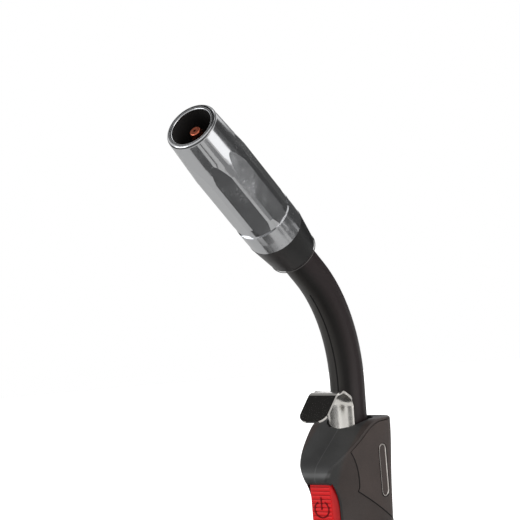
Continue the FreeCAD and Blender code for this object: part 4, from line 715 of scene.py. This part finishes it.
class TORCH_OT_trigger(bpy.types.Operator):
    """Finishes the trigger and the switch, lays the ribs and the standby sign, and puts its own copy of the
    spring in place of the CAD one."""
    bl_idname = "torch.trigger"
    bl_label = "Trigger"

    def execute(self, context):
        s, c = sizes(), colours()
        red = red_moulding("red_polyamide")
        dress(red_moulding("red_polyamide_ribbed", painted_shade=True), "trigger")
        dress(red, "switch_plunger")
        dress(moulding("switch_polyester", tuple(c.ring), 0.45), "switch_body")
        dress(rubber("lead_vinyl", tuple(c.lead), 0.4), "switch_leads")
        coil = bmesh.new()
        coil.from_mesh(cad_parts["trigger_spring"].data)
        steel = turned_metal("spring_steel", tuple(c.steel), 0.3, 0.8 * MM)
        dress(steel, "trigger_spring")
        spring = piece("trigger_coil", coil, steel, "body")
        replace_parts(spring, "trigger_spring")
        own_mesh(spring)
        ribs = bmesh.new()
        low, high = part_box("trigger")
        z = low.z + s.rib_start
        while z < high.z - s.rib_end:
            y, above = front_of("trigger", 0, z), front_of("trigger", 0, z + 0.5 * MM)
            if y is not None and above is not None:
                rib = half_round(ribs, s.rib_width, s.rib_rise, 0.15 * MM)
                ends = list({f for v in rib for f in v.link_faces})
                grown = bmesh.ops.extrude_face_region(ribs, geom=ends)["geom"]
                far = [g for g in grown if isinstance(g, bmesh.types.BMVert)]
                bmesh.ops.translate(ribs, vec=(2 * s.rib_half_length, 0, 0), verts=far)
                whole = list(set(rib) | set(far))
                lean = Matrix.Rotation(-math.atan2(above - y, 0.5 * MM), 3, "X")
                bmesh.ops.rotate(ribs, cent=(0, 0, 0), matrix=lean, verts=whole)
                bmesh.ops.translate(ribs, vec=(-s.rib_half_length, y, z), verts=whole)
            z += s.rib_pitch
        piece("trigger_ribs", ribs, red, "trigger")
        sign = bmesh.new()
        inner, outer = s.mark_radius - s.mark_stroke / 2, s.mark_radius + s.mark_stroke / 2
        corners = [(inner, 0.2 * MM), (outer, 0.2 * MM), (outer, -s.mark_rise), (inner, -s.mark_rise)]
        start = [sign.verts.new((0, y, r)) for r, y in corners]
        face = sign.faces.new(start)
        bmesh.ops.rotate(sign, cent=(0, 0, 0), matrix=Matrix.Rotation(s.mark_gap, 3, "Y"), verts=start)
        bmesh.ops.spin(sign, geom=[face] + start + list(face.edges), cent=(0, 0, 0), axis=(0, 1, 0),
                       dvec=(0, 0, 0), angle=math.radians(360) - 2 * s.mark_gap, steps=44,
                       use_duplicate=False, use_merge=False)
        bar = box(sign, (-s.mark_stroke / 2, -s.mark_rise, -0.2 * MM),
                  (s.mark_stroke / 2, 0.2 * MM, s.mark_bar))
        bmesh.ops.subdivide_edges(sign, edges=[e for e in sign.edges if set(e.verts) <= set(bar)
                                               and abs(e.verts[0].co.z - e.verts[1].co.z) > MM], cuts=6)
        bmesh.ops.translate(sign, vec=(0, 0, s.mark_height), verts=sign.verts)
        for v in sign.verts:
            v.co.y += front_of("trigger", 0, v.co.z)
        piece("standby_sign", sign, painted_sign(), "trigger")
        return {"FINISHED"}


class TORCH_OT_badge(bpy.types.Operator):
    """Lays the raised outline round the badge in the right cover."""
    bl_idname = "torch.badge"
    bl_label = "Badge outline"

    def execute(self, context):
        s = sizes()
        rim = bmesh.new()
        bmesh.ops.create_circle(rim, cap_ends=False, segments=8, radius=s.badge_bead,
                                matrix=Matrix.Translation((0, s.badge_radius, -s.badge_half)))
        edges = rim.edges[:]
        for side in (1, -1):
            grown = bmesh.ops.extrude_edge_only(rim, edges=edges)["geom"]
            verts = [g for g in grown if isinstance(g, bmesh.types.BMVert)]
            bmesh.ops.translate(rim, vec=(0, 0, 2 * side * s.badge_half), verts=verts)
            edges = [g for g in grown if isinstance(g, bmesh.types.BMEdge)]
            turned = bmesh.ops.spin(rim, geom=verts + edges, cent=(0, 0, side * s.badge_half),
                                    axis=(1, 0, 0), dvec=(0, 0, 0), angle=math.radians(180), steps=14,
                                    use_duplicate=False, use_merge=False)["geom_last"]
            edges = [g for g in turned if isinstance(g, bmesh.types.BMEdge)]
        bmesh.ops.remove_doubles(rim, verts=rim.verts, dist=0.01 * MM)
        long_edges = [e for e in rim.edges if e.calc_length() > 5 * MM]
        bmesh.ops.subdivide_edges(rim, edges=long_edges, cuts=24)
        bmesh.ops.rotate(rim, cent=(0, 0, 0), matrix=Matrix.Rotation(s.badge_tilt, 3, "X"), verts=rim.verts)
        bmesh.ops.translate(rim, vec=(0, s.badge_back, s.badge_height), verts=rim.verts)
        for v in rim.verts:
            v.co.x += right_of("badge_plate", v.co.y, v.co.z)
        silver = turned_metal("rolled_aluminium", tuple(colours().badge), 0.34)
        piece("badge_rim", rim, silver, "body")
        return {"FINISHED"}


class TORCH_OT_stage(bpy.types.Operator):
    """Makes the camera, the pale floor, the lamps and the white surroundings."""
    bl_idname = "torch.stage"
    bl_label = "Stage"

    def execute(self, context):
        make_camera()
        make_floor()
        make_lamps()
        make_flags()
        make_world()
        context.scene.view_settings.view_transform = "Standard"
        return {"FINISHED"}


def make_camera():
    """A long lens 1.1 m from the torch, to its right and a little above it, rolled by four degrees."""
    azimuth, elevation, roll = math.radians(34.6), math.radians(2.7), math.radians(-4.21)
    distance, rightwards, upwards, middle = 1.1, -0.04033, 0.05714, 0.1482
    back = Vector((math.sin(azimuth) * math.cos(elevation), -math.cos(azimuth) * math.cos(elevation),
                   math.sin(elevation)))
    level = Vector((math.cos(azimuth), math.sin(azimuth), 0))
    upright = back.cross(level)
    right = level * math.cos(roll) + upright * math.sin(roll)
    up = upright * math.cos(roll) - level * math.sin(roll)
    data = bpy.data.cameras.new("camera")
    data.lens = 164.77
    data.sensor_width = 36.0
    data.clip_start = 0.05
    data.clip_end = 60.0
    made = bpy.data.objects.new("camera", data)
    spot = back * distance + right * rightwards + up * upwards + Vector((0, 0, middle))
    made.matrix_world = Matrix((
        (right.x, up.x, back.x, spot.x),
        (right.y, up.y, back.y, spot.y),
        (right.z, up.z, back.z, spot.z),
        (0, 0, 0, 1),
    ))
    bpy.context.scene.collection.objects.link(made)
    bpy.context.scene.camera = made


def make_floor():
    """A pale floor that fades into the white surroundings."""
    floor = bmesh.new()
    bmesh.ops.create_circle(floor, cap_ends=True, segments=96, radius=1.6)
    bmesh.ops.translate(floor, vec=(0, 0, TORCH_BOX[0].z - 0.2 * MM), verts=floor.verts)
    mesh = bpy.data.meshes.new("floor")
    floor.to_mesh(mesh)
    floor.free()
    made = bpy.data.objects.new("floor", mesh)
    bpy.context.scene.collection.objects.link(made)
    material, tree, shader, place = finish_of("painted_floor", Roughness=0.8, Emission_Color=(1, 1, 1, 1))
    dusty = add(tree, "TexNoise", {"Vector": place, "Scale": 6.0, "Detail": 3.0})
    base = add(tree, "Mix", {0: dusty.outputs["Fac"], 6: linear("#EDEDEC"), 7: linear("#F3F3F2")},
               data_type="RGBA")
    far = add(tree, "VectorMath", {0: place}, operation="LENGTH")
    glow = add(tree, "MapRange", {"Value": far.outputs["Value"], "From Min": 0.12, "From Max": 0.5,
                                  "To Min": 0.25, "To Max": 1.0})
    path = add(tree, "LightPath")
    seen = add(tree, "Math", {0: path.outputs["Is Camera Ray"], 1: glow.outputs[0]}, operation="MULTIPLY")
    connect(tree, shader, Base_Color=base.outputs[2], Emission_Strength=seen.outputs[0])
    mesh.materials.append(material)


def make_lamps():
    """Soft boxes: a cool one to the left of the camera, a warm one to its right, one above."""
    aim = Vector((0, -0.03, 0.16))
    boxes = (
        ("left_box", (-1.0, -1.2, 0.6), 0.9, 0.42, (0.97, 0.99, 1.0)),
        ("right_box", (1.35, -0.35, 0.6), 0.9, 0.4, (1.0, 0.965, 0.94)),
        ("top_box", (0.1, 0.2, 1.5), 0.8, 0.25, (1.0, 1.0, 1.0)),
    )
    for name, spot, size, share, tint in boxes:
        lamp = bpy.data.lights.new(name, "AREA")
        lamp.shape = "SQUARE"
        lamp.size = size
        distance = (Vector(spot) - aim).length
        lamp.energy = share * math.pi ** 2 * distance ** 2
        lamp.color = tint
        made = bpy.data.objects.new(name, lamp)
        made.location = spot
        made.rotation_euler = (Vector(spot) - aim).to_track_quat("Z", "Y").to_euler()
        bpy.context.scene.collection.objects.link(made)


def make_flags():
    """Dark flags and two white cards round the set, which only mirrors see: they draw the dark and bright
    stripes in the nozzle's plating and the hook's steel. Each has its brightness and its corners in
    millimetres."""
    flags = (
        ("under_nozzle", 0.14, ((-60, -155, 1), (80, -155, 1), (75, -50, 1), (-20, -50, 1))),
        ("beside_nozzle", 0.16, ((128, -150, 1), (150, -135, 1), (150, -100, 1), (128, -108, 1))),
        ("right_floor", 0.36, ((225, -95, 1), (335, -60, 1), (320, 60, 1), (195, 40, 1))),
        ("white_floor", 1.85, ((375, -20, 1), (576, 16, 1), (427, 203, 1), (380, 90, 1))),
        ("white_side", 1.85, ((576, 16, 2), (427, 203, 2), (427, 203, 260), (576, 16, 260))),
        ("grey_floor", 0.16, ((325, 62, 1), (425, 180, 1), (340, 310, 1), (240, 150, 1))),
        ("grey_back", 0.14, ((427, 203, 2), (330, 326, 2), (330, 326, 430), (427, 203, 430))),
        ("dark_back", 0.09, ((330, 326, 170), (229, 453, 170), (229, 453, 430), (330, 326, 430))),
        ("far_back", 0.1, ((229, 453, 170), (-260, 660, 170), (-260, 660, 430), (229, 453, 430))),
        ("left_floor", 0.05, ((-95, -48, 1), (-15, -48, 1), (-20, 60, 1), (-110, 150, 1), (-150, 130, 1))),
        ("over_hook", 0.024, ((-480, -190, 640), (-180, -190, 640), (-180, 85, 640), (-480, 85, 640))),
        ("over_mouth", 0.06, ((-178, -260, 640), (90, -260, 640), (90, -20, 640), (-178, -20, 640))),
        ("behind_hook", 0.3, ((-480, 85, 640), (-180, 85, 640), (-150, 800, 420), (-700, 800, 420))),
        ("left_flag", 0.09, ((-600, 60, 46), (-280, -545, 46), (-280, -545, 190), (-600, 60, 190))),
        ("right_flag", 0.11, ((265, -552, 40), (450, -400, 40), (450, -400, 190), (265, -552, 190))),
    )
    for name, brightness, corners in flags:
        sheet = bmesh.new()
        sheet.faces.new([sheet.verts.new(Vector(c) * MM) for c in corners])
        mesh = bpy.data.meshes.new(name)
        sheet.to_mesh(mesh)
        sheet.free()
        made = bpy.data.objects.new(name, mesh)
        bpy.context.scene.collection.objects.link(made)
        material = bpy.data.materials.new(name)
        material.use_nodes = True
        shader = material.node_tree.nodes["Principled BSDF"]
        shader.inputs["Base Color"].default_value = (0, 0, 0, 1)
        shader.inputs["Specular IOR Level"].default_value = 0.0
        shader.inputs["Emission Color"].default_value = (1, 1, 1, 1)
        shader.inputs["Emission Strength"].default_value = brightness
        mesh.materials.append(material)
        made.visible_camera = False
        made.visible_diffuse = False
        made.visible_transmission = False
        made.visible_shadow = False


def make_world():
    """Even light all round, and white wherever the camera or a mirror sees past the torch."""
    world = bpy.data.worlds.new("surroundings")
    bpy.context.scene.world = world
    world.use_nodes = True
    tree = world.node_tree
    tree.nodes.clear()
    path = add(tree, "LightPath")
    mirrored = add(tree, "Math", {0: path.outputs["Is Glossy Ray"], 1: path.outputs["Is Transmission Ray"]},
                   operation="MAXIMUM")
    white = add(tree, "Math", {0: path.outputs["Is Camera Ray"], 1: mirrored.outputs[0]},
                operation="MAXIMUM")
    level = add(tree, "MapRange", {"Value": white.outputs[0], "To Min": 0.4, "To Max": 1.0})
    light = add(tree, "Background", {"Color": (1, 1, 1, 1), "Strength": level.outputs[0]})
    add(tree, "OutputWorld", {"Surface": light.outputs[0]})


class TORCH_PT_panel(bpy.types.Panel):
    """Lists the torch's operators."""
    bl_label = "MIG torch"
    bl_idname = "TORCH_PT_panel"
    bl_space_type = "VIEW_3D"
    bl_region_type = "UI"
    bl_category = "Torch"

    def draw(self, context):
        for group in (context.scene.torch_sizes, context.scene.torch_colours):
            box_of = self.layout.box()
            for name in group.bl_rna.properties.keys():
                if name not in ("rna_type", "name"):
                    box_of.prop(group, name)
        for operator in OPERATORS:
            self.layout.operator(operator.bl_idname)


OPERATORS = (TORCH_OT_stage, TORCH_OT_front, TORCH_OT_neck, TORCH_OT_hook, TORCH_OT_handle,
             TORCH_OT_badge, TORCH_OT_trigger)
CLASSES = (TorchSizes, TorchColours) + OPERATORS + (TORCH_PT_panel,)


def register():
    """Makes the panel, the operators and the settings known."""
    for each in CLASSES:
        bpy.utils.register_class(each)
    bpy.types.Scene.torch_sizes = bpy.props.PointerProperty(type=TorchSizes)
    bpy.types.Scene.torch_colours = bpy.props.PointerProperty(type=TorchColours)


def unregister():
    """Takes them away again."""
    del bpy.types.Scene.torch_sizes
    del bpy.types.Scene.torch_colours
    for each in reversed(CLASSES):
        bpy.utils.unregister_class(each)


def main():
    """Makes the stage and every finish."""
    register()
    bpy.ops.torch.stage()
    bpy.ops.torch.front()
    bpy.ops.torch.neck()
    bpy.ops.torch.hook()
    bpy.ops.torch.handle()
    bpy.ops.torch.badge()
    bpy.ops.torch.trigger()


if __name__ == "__main__":
    main()
